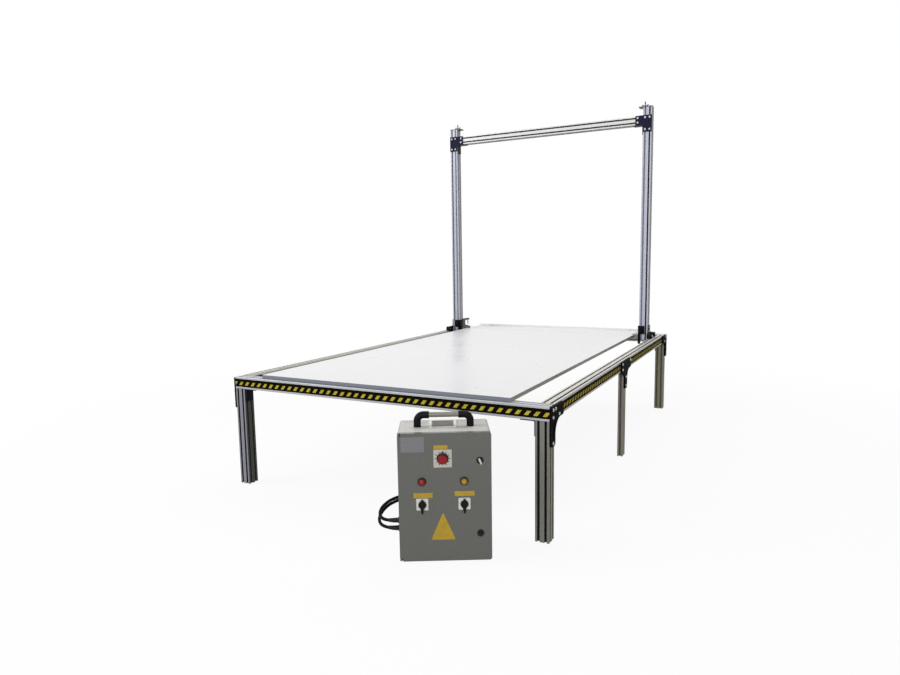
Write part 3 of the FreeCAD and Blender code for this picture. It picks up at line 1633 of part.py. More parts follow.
def make_cords():
    """Both cords with their coils, and what is on their ends."""
    group("mains_cord", [cord_tube("mains_lead", MAINS_ROUTE), cord_tube("mains_tail", MAINS_TAIL)])
    group("wire_cord", [cord_tube("wire_lead", WIRE_ROUTE), cord_tube("wire_tail", WIRE_TAIL)])
    cord_coil("mains_coil", MAINS_COIL)
    cord_coil("wire_coil", WIRE_COIL)
    make_plug()
    make_connector()


# ---------------------------------------------------------------- building

SUB_PARTS = [
    "front_beam", "rear_beam", "left_rail", "right_rail", "front_left_leg", "front_right_leg",
    "rear_left_leg", "rear_right_leg", "middle_leg", "board_bearers", "work_board", "rear_stop",
    "side_brackets", "frame_bolts", "inner_brackets", "hazard_tape",
    "left_upright", "right_upright", "crossbar", "joint_plates", "crossbar_brackets",
    "upright_caps", "carriage_plates", "roller_axles", "front_left_roller", "rear_left_roller",
    "front_right_roller", "rear_right_roller", "guide_keys", "gantry_bolts",
    "left_carrier", "right_carrier", "left_star_knob", "right_star_knob", "wire_post",
    "tension_spring", "guide_pulley", "wire_insulator", "hot_wire",
    "cabinet_shell", "cabinet_door", "door_hinges", "cabinet_handle", "top_vent",
    "cabinet_feet", "panel_fittings", "signal_lamps", "dial_knob", "left_switch_knob",
    "right_switch_knob", "upper_lock", "lower_lock", "transformer", "cable_glands",
    "mains_cord", "mains_coil", "mains_plug", "wire_cord", "wire_coil", "wire_connector",
]


def check(sub_parts):
    """Stop if any object failed, or if a sub-part has no sound shape."""
    for item in doc.Objects:
        state = set(item.State) & {"Invalid", "Error"}
        assert not state, f"{item.Label}: {state}"
    for label, item in sub_parts.items():
        shape = item.Shape
        assert not shape.isNull(), f"{label}: no shape"
        assert shape.isValid(), f"{label}: shape not valid"
        assert shape.Solids, f"{label}: no solid"


def build():
    """Make every sub-part."""
    make_frame()
    make_board()
    make_brackets()
    make_tape()
    make_gantry_frame()
    make_gantry_tops()
    make_carriages()
    make_carriers()
    make_shell()
    make_door()
    make_hinges()
    make_handle()
    make_vent()
    make_feet()
    make_fittings()
    make_lamps()
    make_dial_knob()
    make_switch_knobs()
    make_locks()
    make_transformer()
    make_glands()
    make_cords()
    doc.recompute()


def export():
    """Write each sub-part to its own file."""
    sub_parts = {}
    for label in SUB_PARTS:
        found = doc.getObjectsByLabel(label)
        assert len(found) == 1, f"{label}: {len(found)} objects with this label"
        sub_parts[label] = found[0]
    check(sub_parts)
    os.makedirs("parts", exist_ok=True)
    for label, item in sub_parts.items():
        item.Shape.exportStep(f"parts/{label}.step")
    print(f"{len(sub_parts)} sub-parts, {sum(len(i.Shape.Solids) for i in sub_parts.values())} solids")


build()
export()
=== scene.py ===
"""Looks of a hot wire cutting table for foam blocks, with its control cabinet.

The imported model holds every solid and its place. This script gives each surface its finish,
adds the small parts that a workshop fits last, lays the two free cords on the floor, and sets
up the studio. Lengths are in metres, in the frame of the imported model.
"""
from __future__ import annotations

import logging
import math
from dataclasses import dataclass, replace
from enum import Enum
from typing import Iterable, Sequence, Union

import bmesh
import bpy
from mathutils import Matrix, Vector


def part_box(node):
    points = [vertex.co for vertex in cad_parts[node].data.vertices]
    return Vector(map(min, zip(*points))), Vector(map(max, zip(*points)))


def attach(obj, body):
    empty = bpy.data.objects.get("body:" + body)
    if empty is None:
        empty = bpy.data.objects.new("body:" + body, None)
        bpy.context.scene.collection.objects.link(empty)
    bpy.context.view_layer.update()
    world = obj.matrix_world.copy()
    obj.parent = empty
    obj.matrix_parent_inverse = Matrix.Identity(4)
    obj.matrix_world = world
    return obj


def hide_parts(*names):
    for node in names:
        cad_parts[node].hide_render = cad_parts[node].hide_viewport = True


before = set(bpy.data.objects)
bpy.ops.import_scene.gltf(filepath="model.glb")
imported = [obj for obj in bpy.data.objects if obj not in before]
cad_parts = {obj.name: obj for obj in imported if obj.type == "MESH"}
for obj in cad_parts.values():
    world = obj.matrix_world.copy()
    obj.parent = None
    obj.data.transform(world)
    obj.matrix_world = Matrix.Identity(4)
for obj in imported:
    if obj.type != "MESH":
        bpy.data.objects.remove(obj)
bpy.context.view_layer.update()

log = logging.getLogger("hot_wire_cutter")

Colour = tuple[float, float, float]
Point = tuple[float, float, float]
Flat = tuple[float, float]
Shape = bmesh.types.BMesh
Socket = bpy.types.NodeSocket
Sockets = dict[str, Socket]
Feed = Union[float, tuple, Socket]

WHOLE = (0.0, 1.0)
RELIEF_HEIGHT = 0.0004
SHARP_EDGE = math.radians(35.0)


# ---------------------------------------------------------------- places

@dataclass(frozen=True)
class CabinetPlace:
    """Where the cabinet stands: X to its right, Y inwards from its door, Z up.

    Attributes:
        right: X of the middle of the door's face.
        back: Y of the middle of the door's face.
        turn: Angle from the row's X to the cabinet's X, in degrees.
    """

    right: float = 0.540
    back: float = -1.423
    turn: float = 29.0

    def matrix(self) -> Matrix:
        """Return the placement of the cabinet in the row frame."""
        turned = Matrix.Rotation(math.radians(self.turn), 4, "Z")
        return Matrix.Translation((self.right, self.back, 0.0)) @ turned

    def point(self, place: Point) -> Vector:
        """Return a cabinet point in the row frame."""
        return self.matrix() @ Vector(place)

    def on_face(self, right: float, up: float, proud: float = 0.0) -> Matrix:
        """Return a placement on the door: local X to the right, Y up and Z outwards."""
        upright = Matrix.Rotation(math.radians(90.0), 4, "X")
        return self.matrix() @ Matrix.Translation((right, -proud, up)) @ upright


CABINET = CabinetPlace()


# ---------------------------------------------------------------- node trees

class Wiring:
    """Adds the nodes of one tree and joins them."""

    def __init__(self, tree: bpy.types.NodeTree) -> None:
        """Take a tree and empty it."""
        self.tree = tree
        tree.nodes.clear()

    def add(self, kind: str, feeds: dict | None = None, **settings: object) -> bpy.types.Node:
        """Add a node.

        Args:
            kind: Type of the node, such as ShaderNodeMath.
            feeds: What goes into its inputs, by name or number: a value or another's output.
            settings: Properties of the node.

        Returns:
            The node.
        """
        node = self.tree.nodes.new(kind)
        for name, value in settings.items():
            setattr(node, name, value)
        for name, value in (feeds or {}).items():
            self.feed(node.inputs[name], value)
        return node

    def feed(self, socket: Socket, value: Feed) -> None:
        """Join an output to a socket, or set the socket's own value.

        Args:
            socket: The input.
            value: An output, or a plain value.
        """
        if isinstance(value, Socket):
            self.tree.links.new(value, socket)
        elif isinstance(value, tuple) and len(value) == 3 and len(socket.default_value) == 4:
            socket.default_value = (*value, 1.0)
        else:
            socket.default_value = value

    def math(self, operation: str, *values: Feed, clamp: bool = False) -> Socket:
        """Return the result of a Math node, kept from 0 to 1 with clamp."""
        feeds = dict(enumerate(values))
        return self.add("ShaderNodeMath", feeds, operation=operation, use_clamp=clamp).outputs[0]

    def vector(self, operation: str, *values: Feed) -> Socket:
        """Return the result of a Vector Math node that gives a vector."""
        feeds = dict(enumerate(values))
        return self.add("ShaderNodeVectorMath", feeds, operation=operation).outputs[0]

    def measure(self, operation: str, *values: Feed) -> Socket:
        """Return the result of a Vector Math node that gives a plain value."""
        feeds = dict(enumerate(values))
        return self.add("ShaderNodeVectorMath", feeds, operation=operation).outputs[1]

    def remap(self, value: Feed, span: tuple, onto: tuple = WHOLE) -> Socket:
        """Return a value moved from one span to another, kept inside it."""
        names = ("Value", "From Min", "From Max", "To Min", "To Max")
        return self.add("ShaderNodeMapRange", dict(zip(names, (value, *span, *onto)))).outputs[0]

    def spread(self, mask: Feed, low: float, high: float) -> Socket:
        """Return one value where a mask is 0 and another where it is 1."""
        return self.remap(mask, WHOLE, (low, high))

    def above(self, value: Feed, edge: float, soft: float = 0.0001) -> Socket:
        """Return a mask that goes from 0 to 1 at an edge, over twice a width."""
        return self.remap(value, (edge - soft, edge + soft))

    def mix(self, mask: Feed, first: Feed, second: Feed) -> Socket:
        """Return a colour that goes from the first to the second with the mask."""
        feeds = {0: mask, 6: first, 7: second}
        return self.add("ShaderNodeMix", feeds, data_type="RGBA").outputs[2]

    def blend(self, mask: Feed, first: Feed, second: Feed) -> Socket:
        """Return a plain value that goes from the first to the second with the mask."""
        return self.add("ShaderNodeMix", {0: mask, 2: first, 3: second}).outputs[0]

    def scaled(self, colour: Feed, shade: Feed) -> Socket:
        """Return a colour times a plain value."""
        feeds = {0: colour, "Scale": shade}
        return self.add("ShaderNodeVectorMath", feeds, operation="SCALE").outputs[0]

    def noise(self, place: Feed, scale: Feed, detail: float, roughness: Feed) -> Socket:
        """Return a noise that follows the coordinates given."""
        feeds = {"Vector": place, "Scale": scale, "Detail": detail, "Roughness": roughness}
        return self.add("ShaderNodeTexNoise", feeds).outputs[0]

    def place(self) -> Socket:
        """Return the surface's own coordinates, which move with its body."""
        return self.add("ShaderNodeTexCoord").outputs["Object"]

    def normal(self, kind: str = "Normal") -> Socket:
        """Return the surface's Normal or True Normal."""
        return self.add("ShaderNodeNewGeometry").outputs[kind]

    def apart(self, vector: Feed) -> tuple[Socket, ...]:
        """Return the three parts of a vector."""
        return tuple(self.add("ShaderNodeSeparateXYZ", {0: vector}).outputs)


class Effect(Enum):
    """Effects that several finishes share: the group's name, its output, and what it takes."""

    GRAIN = ("Fine Grain", "Value", {"Scale": 600.0, "Roughness": 0.55, "Low": 0.4, "High": 0.6})
    STREAKS = ("Drawn Streaks", "Value", {
        "Stretch": (500.0, 4.0, 500.0), "Low": 0.35, "High": 0.65})
    WORN_EDGES = ("Worn Edges", "Mask", {"Width": 0.002, "Amount": 0.6})
    DUST = ("Settled Dust", "Mask", {"Amount": 0.2, "Even": 0.0})
    SLOT_DEPTH = ("Slot Depth", "Mask", {
        "Low": (0.0, 0.0, 0.0), "High": (1.0, 1.0, 1.0), "Along": (0.0, 0.0, 1.0)})
    CABINET_SPACE = ("Cabinet Space", "Place", {})


class EffectShop:
    """Builds each shared node group once and places it in the trees that use it.

    Attributes:
        bent: Cosines of the bend at which wear starts and is full.
        level: Upward parts of the normal at which the dust and painted top light start and are
            full.
        depth: Depths in a slot at which the painted shade starts and is full.
    """

    bent = (0.985, 0.90)
    level = (0.5, 1.0)
    depth = (0.0008, 0.0026)

    def __init__(self) -> None:
        """Start with no group built."""
        self.built: dict[Effect, bpy.types.NodeTree] = {}

    def use(self, wiring: Wiring, effect: Effect, **feeds: Feed) -> Socket:
        """Place an effect in a tree.

        Args:
            wiring: The tree.
            effect: The effect.
            feeds: What goes into its inputs, by name.

        Returns:
            The effect's output.
        """
        if effect not in self.built:
            self.built[effect] = self.build(effect)
        return wiring.add("ShaderNodeGroup", feeds, node_tree=self.built[effect]).outputs[0]

    def build(self, effect: Effect) -> bpy.types.NodeTree:
        """Build a group.

        Args:
            effect: The effect it makes.

        Returns:
            The group's tree.
        """
        name, gives, takes = effect.value
        tree = bpy.data.node_groups.new(name, "ShaderNodeTree")
        for label, start in takes.items():
            kind = "NodeSocketVector" if isinstance(start, tuple) else "NodeSocketFloat"
            socket = tree.interface.new_socket(label, in_out="INPUT", socket_type=kind)
            socket.default_value = start
        kind = "NodeSocketVector" if effect is Effect.CABINET_SPACE else "NodeSocketFloat"
        tree.interface.new_socket(gives, in_out="OUTPUT", socket_type=kind)
        wiring = Wiring(tree)
        inputs = {socket.name: socket for socket in wiring.add("NodeGroupInput").outputs}
        made = getattr(self, effect.name.lower())(wiring, inputs)
        wiring.add("NodeGroupOutput", {gives: made})
        return tree

    def grain(self, wiring: Wiring, takes: Sockets) -> Socket:
        """Return an even, fine grain over the surface, as a value round its middle."""
        noise = wiring.noise(wiring.place(), takes["Scale"], 3.0, takes["Roughness"])
        return wiring.remap(noise, (takes["Low"], takes["High"]))

    def streaks(self, wiring: Wiring, takes: Sockets) -> Socket:
        """Return the fine lines that drawing or brushing leaves along a piece."""
        stretched = wiring.vector("MULTIPLY", wiring.place(), takes["Stretch"])
        return wiring.remap(wiring.noise(stretched, 1.0, 4.0, 0.6), (takes["Low"], takes["High"]))

    def worn_edges(self, wiring: Wiring, takes: Sockets) -> Socket:
        """Wire the outer edges where a coat is rubbed off in places.

        Args:
            wiring: The group's tree.
            takes: What the group is given.

        Returns:
            The mask.
        """
        rounded = wiring.add("ShaderNodeBevel", {"Radius": takes["Width"]}, samples=4).outputs[0]
        bend = wiring.measure("DOT_PRODUCT", rounded, wiring.normal())
        patches = wiring.remap(wiring.noise(wiring.place(), 140.0, 4.0, 0.65), (0.42, 0.62))
        rubbed = wiring.math("MULTIPLY", wiring.remap(bend, self.bent), patches)
        return wiring.math("MULTIPLY", rubbed, takes["Amount"], clamp=True)

    def dust(self, wiring: Wiring, takes: Sockets) -> Socket:
        """Wire the pale dust that settles on faces turned upwards, also used as painted top light.

        Args:
            wiring: The group's tree.
            takes: What the group is given.

        Returns:
            The mask.
        """
        upward = wiring.remap(wiring.apart(wiring.normal())[2], self.level)
        patches = wiring.remap(wiring.noise(wiring.place(), 35.0, 6.0, 0.7), (0.35, 0.7))
        patches = wiring.math("MAXIMUM", patches, takes["Even"])
        laid = wiring.math("MULTIPLY", upward, patches)
        return wiring.math("MULTIPLY", laid, takes["Amount"], clamp=True)

    def slot_depth(self, wiring: Wiring, takes: Sockets) -> Socket:
        """Wire the depths of a profile's slots, which are darkened as painted shade.

        Args:
            wiring: The group's tree.
            takes: What the group is given.

        Returns:
            The mask.
        """
        along = takes["Along"]
        above = wiring.vector("SUBTRACT", wiring.place(), takes["Low"])
        below = wiring.vector("SUBTRACT", takes["High"], wiring.place())
        nearest = wiring.vector("ADD", wiring.vector("MINIMUM", above, below), along)
        across, back, up = wiring.apart(nearest)
        depth = wiring.math("MINIMUM", wiring.math("MINIMUM", across, back), up)
        facing = wiring.measure("DOT_PRODUCT", wiring.normal("True Normal"), along)
        side = wiring.math("LESS_THAN", wiring.math("ABSOLUTE", facing), 0.5)
        return wiring.math("MULTIPLY", wiring.remap(depth, self.depth), side, clamp=True)

    def cabinet_space(self, wiring: Wiring, _: Sockets) -> Socket:
        """Wire the surface's place in cabinet coordinates.

        Args:
            wiring: The group's tree.
            _: Nothing, as the group takes nothing.

        Returns:
            The place.
        """
        moved = wiring.vector("SUBTRACT", wiring.place(), (CABINET.right, CABINET.back, 0.0))
        feeds = {"Vector": moved, "Angle": math.radians(-CABINET.turn)}
        return wiring.add("ShaderNodeVectorRotate", feeds, rotation_type="Z_AXIS").outputs[0]


EFFECTS = EffectShop()


# ---------------------------------------------------------------- finishes

@dataclass(frozen=True)
class Finish:
    """What a surface is made of, with nothing but a fine grain on it.

    Attributes:
        name: Name of the material.
        colour: Base colour, linear.
        roughness: Roughness of the clean surface.
        metallic: How far it is bare metal.
        grain: Scale of its grain.
        bump: Depth of its grain.
        coat: Weight of a clear coat.
        variation: How far the grain changes the colour.
        gloss: Specular level, 0.5 for a plain plastic or paint.
    """

    name: str
    colour: Colour
    roughness: float = 0.5
    metallic: float = 0.0
    grain: float = 500.0
    bump: float = 0.1
    coat: float = 0.0
    variation: float = 0.06
    gloss: float = 0.5

    def material(self) -> bpy.types.Material:
        """Build the material the first time it is asked for.

        Returns:
            The material.
        """
        known = bpy.data.materials.get(self.name)
        if known is not None:
            return known
        made = bpy.data.materials.new(self.name)
        made.use_nodes = True
        made.diffuse_color = (*self.colour, 1.0)
        wiring = Wiring(made.node_tree)
        shader = wiring.add("ShaderNodeBsdfPrincipled", {
            "Roughness": self.roughness, "Metallic": self.metallic, "Coat Weight": self.coat,
            "Specular IOR Level": self.gloss})
        for name, value in self.dress(wiring).items():
            wiring.feed(shader.inputs[name], value)
        wiring.add("ShaderNodeOutputMaterial", {"Surface": shader.outputs[0]})
        return made

    def fine(self, wiring: Wiring) -> Socket:
        """Return the surface's fine grain."""
        return EFFECTS.use(wiring, Effect.GRAIN, Scale=self.grain)

    def grained(self, wiring: Wiring, colour: Feed) -> Socket:
        """Return a colour that a coarser grain makes a little darker and lighter."""
        patches = EFFECTS.use(wiring, Effect.GRAIN, Scale=self.grain / 6)
        return wiring.scaled(colour, wiring.spread(patches, 1 - self.variation, 1 + self.variation))

    def rough(self, wiring: Wiring, mask: Feed, low: float, high: float) -> Socket:
        """Return the roughness with one amount more where a mask is 0 and another where it is 1."""
        return wiring.spread(mask, self.roughness + low, self.roughness + high)

    def relief(self, wiring: Wiring, height: Feed) -> Socket:
        """Return the surface's normal with a height of 0 to 1 on it."""
        feeds = {"Height": height, "Strength": self.bump, "Distance": RELIEF_HEIGHT}
        return wiring.add("ShaderNodeBump", feeds).outputs[0]

    def dress(self, wiring: Wiring) -> Sockets:
        """Wire the surface's colour, roughness and relief.

        Args:
            wiring: The material's tree.

        Returns:
            What goes into the shader's inputs, by name.
        """
        fine = self.fine(wiring)
        return {"Base Color": self.grained(wiring, self.colour),
                "Roughness": self.rough(wiring, fine, -0.05, 0.05),
                "Normal": self.relief(wiring, fine)}


@dataclass(frozen=True)
class DrawnAluminium(Finish):
    """Anodised aluminium with the die's fine lines along it, and painted shade in its slots, on its
    sides and under it.

    Attributes:
        along: Axis that the profile runs along: 0, 1 or 2.
        slot: Colour deep in its slots, as painted shade.
        flank: Colour of the faces turned to the machine's sides, as painted shade, or the main
            colour.
        swept: Colour of the slots on the machine's inner side, lighter as painted light, or the
            same as the others.
        below: Colour of the faces turned down, as painted shade, or the main colour.
        node: Profile whose outer faces the slots' depth counts from, or empty.
        stretch: Scale of the lines along the profile and across it.
    """

    along: int = 2
    slot: Colour = (0.004, 0.004, 0.006)
    flank: Colour | None = None
    swept: Colour | None = None
    below: Colour | None = None
    node: str = ""
    stretch: Flat = (3.0, 420.0)

    def on_node(self, node: str) -> DrawnAluminium:
        """Return the same finish with its slots counted from a profile's outer faces."""
        return replace(self, name=f"{self.name}_{node}", node=node)

    def faces(self, wiring: Wiring) -> Feed:
        """Wire the colours of the outer faces, with painted shade on the side faces and on those
        turned down.

        Args:
            wiring: The material's tree.

        Returns:
            The colour.
        """
        colour: Feed = self.colour
        across, _, up = wiring.apart(wiring.normal())
        if self.flank:
            # Painted shade: faces turned to the machine's sides get a darker, warmer colour.
            turned = wiring.above(wiring.math("ABSOLUTE", across), 0.6, 0.1)
            colour = wiring.mix(turned, self.colour, self.flank)
        if self.below:
            # Painted shade: faces turned down get a darker colour.
            colour = wiring.mix(wiring.math("LESS_THAN", up, -0.6), colour, self.below)
        return colour

    def slots(self, wiring: Wiring) -> tuple[Socket, Feed]:
        """Wire the painted shade in the slots of the finish's node, with painted light on the inner
        side.

        Args:
            wiring: The material's tree.

        Returns:
            The mask of their depths and their colour.
        """
        low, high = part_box(self.node)
        axis = tuple(float(number == self.along) for number in range(3))
        deep = EFFECTS.use(
            wiring, Effect.SLOT_DEPTH, Low=tuple(low), High=tuple(high), Along=axis)
        if not self.swept:
            return deep, self.slot
        # Painted light: slots on the machine's inner side get a lighter colour.
        reach = wiring.math("ABSOLUTE", wiring.apart(wiring.place())[0])
        inner = wiring.math("LESS_THAN", reach, abs(low.x + high.x) / 2)
        return deep, wiring.mix(inner, self.slot, self.swept)

    def dress(self, wiring: Wiring) -> Sockets:
        """Wire the drawn lines, the wear by hands, and the painted shade and light in the slots.

        Args:
            wiring: The material's tree.

        Returns:
            What goes into the shader's inputs, by name.
        """
        stretch = tuple(self.stretch[axis != self.along] for axis in range(3))
        lines = EFFECTS.use(wiring, Effect.STREAKS, Stretch=stretch)
        handled = EFFECTS.use(wiring, Effect.GRAIN, Scale=7.0, Low=0.35, High=0.75)
        shade = wiring.math(
            "MULTIPLY", wiring.spread(lines, 0.93, 1.05), wiring.spread(handled, 1.0, 0.95))
        rough = wiring.math(
            "ADD", self.rough(wiring, lines, 0.05, -0.05), wiring.spread(handled, 0.0, 0.08))
        looks = {"Base Color": wiring.scaled(self.faces(wiring), shade), "Roughness": rough,
                 "Normal": self.relief(wiring, lines)}
        if self.node:
            # Painted shade: the slots' depths take the slot colour and lose their metal.
            deep, dark = self.slots(wiring)
            looks["Base Color"] = wiring.mix(deep, looks["Base Color"], dark)
            looks["Metallic"] = wiring.blend(deep, self.metallic, 0.0)
        return looks


@dataclass(frozen=True)
class CoatedMetal(Finish):
    """Painted or powder-coated metal, rubbed at its edges, with dust and painted top light on its
    upper faces.

    Attributes:
        under: Colour of the metal under the coat.
        bare: How far that is bare metal.
        wear: How much of the coat is rubbed off at edges.
        wear_width: Width of a worn edge.
        dust: How much pale dust and painted top light lies on upper faces.
        even: Least share of the dust and painted top light that lies between its patches.
        pale: Colour of the dust and of the painted top light.
        matt: Roughness of the dust and of the painted top light.
        peel: Scale of the coat's orange peel.
    """

    under: Colour = (0.35, 0.35, 0.36)
    bare: float = 0.85
    wear: float = 0.6
    wear_width: float = 0.0015
    dust: float = 0.1
    even: float = 0.0
    pale: Colour = (0.62, 0.60, 0.57)
    matt: float = 0.85
    peel: float = 900.0

    def dress(self, wiring: Wiring) -> Sockets:
        """Wire the coat, its wear, its orange peel, and the dust and painted top light on it.

        Args:
            wiring: The material's tree.

        Returns:
            What goes into the shader's inputs, by name.
        """
        coat = self.grained(wiring, self.colour)
        worn = EFFECTS.use(wiring, Effect.WORN_EDGES, Width=self.wear_width, Amount=self.wear)
        # Dust on upper faces; where it is full and even, as on the housing, it is painted top
        # light.
        dust_and_top_light_mask = EFFECTS.use(wiring, Effect.DUST, Amount=self.dust, Even=self.even)
        peel = EFFECTS.use(wiring, Effect.GRAIN, Scale=self.peel)
        rough = self.rough(wiring, peel, -0.04, 0.04)
        return {"Base Color": wiring.mix(dust_and_top_light_mask, wiring.mix(worn, coat, self.under), self.pale),
                "Metallic": wiring.blend(worn, self.metallic, self.bare),
                "Roughness": wiring.blend(dust_and_top_light_mask, rough, self.matt),
                "Normal": self.relief(wiring, peel)}


@dataclass(frozen=True)
class LaminateBoard(Finish):
    """White laminate with a banded front edge and raw side edges.

    Attributes:
        face: Height above which it is the laminate's face.
        behind: Y beyond which it is not the front edge.
        band: Colour of the front edge's band.
        raw: Colour of the side and rear edges.
        strokes: Scale of the faint marks along each axis.
        mark: How much darker a mark is.
    """

    face: float = 0.5777
    behind: float = -1.0956
    band: Colour = (0.21, 0.225, 0.27)
    raw: Colour = (0.33, 0.32, 0.275)
    strokes: Point = (5.0, 260.0, 40.0)
    mark: float = 0.025

    def dress(self, wiring: Wiring) -> Sockets:
        """Wire the face's faint grain and marks, and the edges.

        Args:
            wiring: The material's tree.

        Returns:
            What goes into the shader's inputs, by name.
        """
        _, back, height = wiring.apart(wiring.place())
        edge = wiring.mix(wiring.above(back, self.behind), self.band, self.raw)
        clouds = EFFECTS.use(wiring, Effect.GRAIN, Scale=2.2, Low=0.3, High=0.7)
        marks = EFFECTS.use(wiring, Effect.STREAKS, Stretch=self.strokes, Low=0.66, High=0.74)
        shade = wiring.math("SUBTRACT", wiring.spread(clouds, 0.975, 1.01),
                            wiring.math("MULTIPLY", marks, self.mark))
        white = wiring.scaled(self.colour, shade)
        return {"Base Color": wiring.mix(wiring.above(height, self.face), edge, white),
                "Roughness": self.rough(wiring, clouds, -0.06, 0.06),
                "Normal": self.relief(wiring, self.fine(wiring))}


@dataclass(frozen=True)
class HazardTape(Finish):
    """Self-adhesive tape with slanted yellow bars on black.

    Attributes:
        bar: Colour of the bars.
        pitch: Distance from bar to bar.
        share: Share of the pitch that a bar takes on the front.
        side_share: The same on the sides.
        slant: How far a bar moves along for each metre upwards.
        middle: Height of the bars' middle.
        rise: Half height of the bars.
        shift: How far the bars stand to the left of the whole pitches.
        ahead: Whole pitches added so that the count never goes below nothing.
        left_face: X beyond which the tape is on the left face.
        side_face: Distance from the middle beyond which it is on a side face.
    """

    bar: Colour = (0.57, 0.47, 0.05)
    pitch: float = 0.0397
    share: float = 0.44
    side_share: float = 0.56
    slant: float = 0.80
    middle: float = 0.5275
    rise: float = 0.0090
    shift: float = 0.0002
    ahead: float = 100.0
    left_face: float = -0.8402
    side_face: float = 0.8401

    def bars(self, wiring: Wiring) -> Socket:
        """Wire the bars.

        Args:
            wiring: The material's tree.

        Returns:
            A mask that is 1 on a bar.
        """
        across, back, height = wiring.apart(wiring.place())
        side = wiring.blend(wiring.math("LESS_THAN", across, self.left_face), 1.0, -1.0)
        along = wiring.math("ADD", across, wiring.math("MULTIPLY", back, side))
        leaning = wiring.math("SUBTRACT", along, wiring.math("MULTIPLY", height, self.slant))
        pitches = wiring.math("DIVIDE", wiring.math("ADD", leaning, self.shift), self.pitch)
        cycle = wiring.math("FRACT", wiring.math("ADD", pitches, self.ahead))
        on_side = wiring.math("GREATER_THAN", wiring.math("ABSOLUTE", across), self.side_face)
        share = wiring.blend(on_side, self.share, self.side_share)
        level = wiring.math("ABSOLUTE", wiring.math("SUBTRACT", height, self.middle))
        return wiring.math("MULTIPLY", wiring.math("LESS_THAN", cycle, share),
                           wiring.math("LESS_THAN", level, self.rise))

    def dress(self, wiring: Wiring) -> Sockets:
        """Wire the bars, the film's sheen and the dirt on it.

        Args:
            wiring: The material's tree.

        Returns:
            What goes into the shader's inputs, by name.
        """
        dirt = EFFECTS.use(wiring, Effect.GRAIN, Scale=60.0, Low=0.35, High=0.8)
        film = wiring.mix(self.bars(wiring), self.colour, self.bar)
        return {"Base Color": wiring.scaled(film, wiring.spread(dirt, 1.08, 0.72)),
                "Roughness": self.rough(wiring, dirt, -0.08, 0.12),
                "Normal": self.relief(wiring, dirt)}


@dataclass(frozen=True)
class Region:
    """A part of a node with a finish of its own, in cabinet or in row coordinates.

    Attributes:
        low: Lowest corner.
        high: Highest corner.
        colour: Its colour.
        roughness: Its roughness.
        metallic: How far it is bare metal.
    """

    low: Point
    high: Point
    colour: Colour
    roughness: float = 0.4
    metallic: float = 0.0

    def mask(self, wiring: Wiring, place: Socket) -> Socket:
        """Wire a mask of the region.

        Args:
            wiring: The material's tree.
            place: The surface's place, in the coordinates of the corners.

        Returns:
            1 inside the region and 0 outside it.
        """
        middle = tuple((a + b) / 2 for a, b in zip(self.low, self.high))
        half = tuple((b - a) / 2 for a, b in zip(self.low, self.high))
        reach = wiring.vector("ABSOLUTE", wiring.vector("SUBTRACT", place, middle))
        across, back, up = wiring.apart(wiring.vector("SUBTRACT", reach, half))
        most = wiring.math("MAXIMUM", wiring.math("MAXIMUM", across, back), up)
        return wiring.math("LESS_THAN", most, 0.0)


@dataclass(frozen=True)
class MixedPiece(Finish):
    """A node of several materials, told apart by where they are on it.

    Attributes:
        regions: The parts with a finish of their own, later ones on top.
        on_cabinet: Whether their corners are in cabinet coordinates.
    """

    regions: tuple[Region, ...] = ()
    on_cabinet: bool = True

    def dress(self, wiring: Wiring) -> Sockets:
        """Wire each region's colour, roughness and metal over the main ones.

        Args:
            wiring: The material's tree.

        Returns:
            What goes into the shader's inputs, by name.
        """
        cabinet = self.on_cabinet
        place = EFFECTS.use(wiring, Effect.CABINET_SPACE) if cabinet else wiring.place()
        colour, rough, metal = self.colour, self.roughness, self.metallic
        for region in self.regions:
            mask = region.mask(wiring, place)
            colour = wiring.mix(mask, colour, region.colour)
            rough = wiring.blend(mask, rough, region.roughness)
            metal = wiring.blend(mask, metal, region.metallic)
        fine = self.fine(wiring)
        return {"Base Color": self.grained(wiring, colour),
                "Roughness": wiring.math("ADD", rough, wiring.spread(fine, -0.03, 0.03)),
                "Metallic": metal, "Normal": self.relief(wiring, fine)}


@dataclass(frozen=True)
class TurnedMetal(Finish):
    """Bare machined or plated metal with faint tarnish.

    Attributes:
        tarnish: Colour of the tarnish.
        stain: How much of it there is at most.
    """

    tarnish: Colour = (0.30, 0.28, 0.25)
    stain: float = 0.35

    def dress(self, wiring: Wiring) -> Sockets:
        """Wire the metal's colour with its tarnish, roughness and relief.

        Args:
            wiring: The material's tree.

        Returns:
            What goes into the shader's inputs, by name.
        """
        clouds = EFFECTS.use(wiring, Effect.GRAIN, Scale=self.grain / 5, Low=0.45, High=0.75)
        stain = wiring.math("MULTIPLY", clouds, self.stain)
        return {"Base Color": wiring.mix(stain, self.colour, self.tarnish),
                "Roughness": self.rough(wiring, clouds, 0.0, 0.15),
                "Normal": self.relief(wiring, self.fine(wiring))}


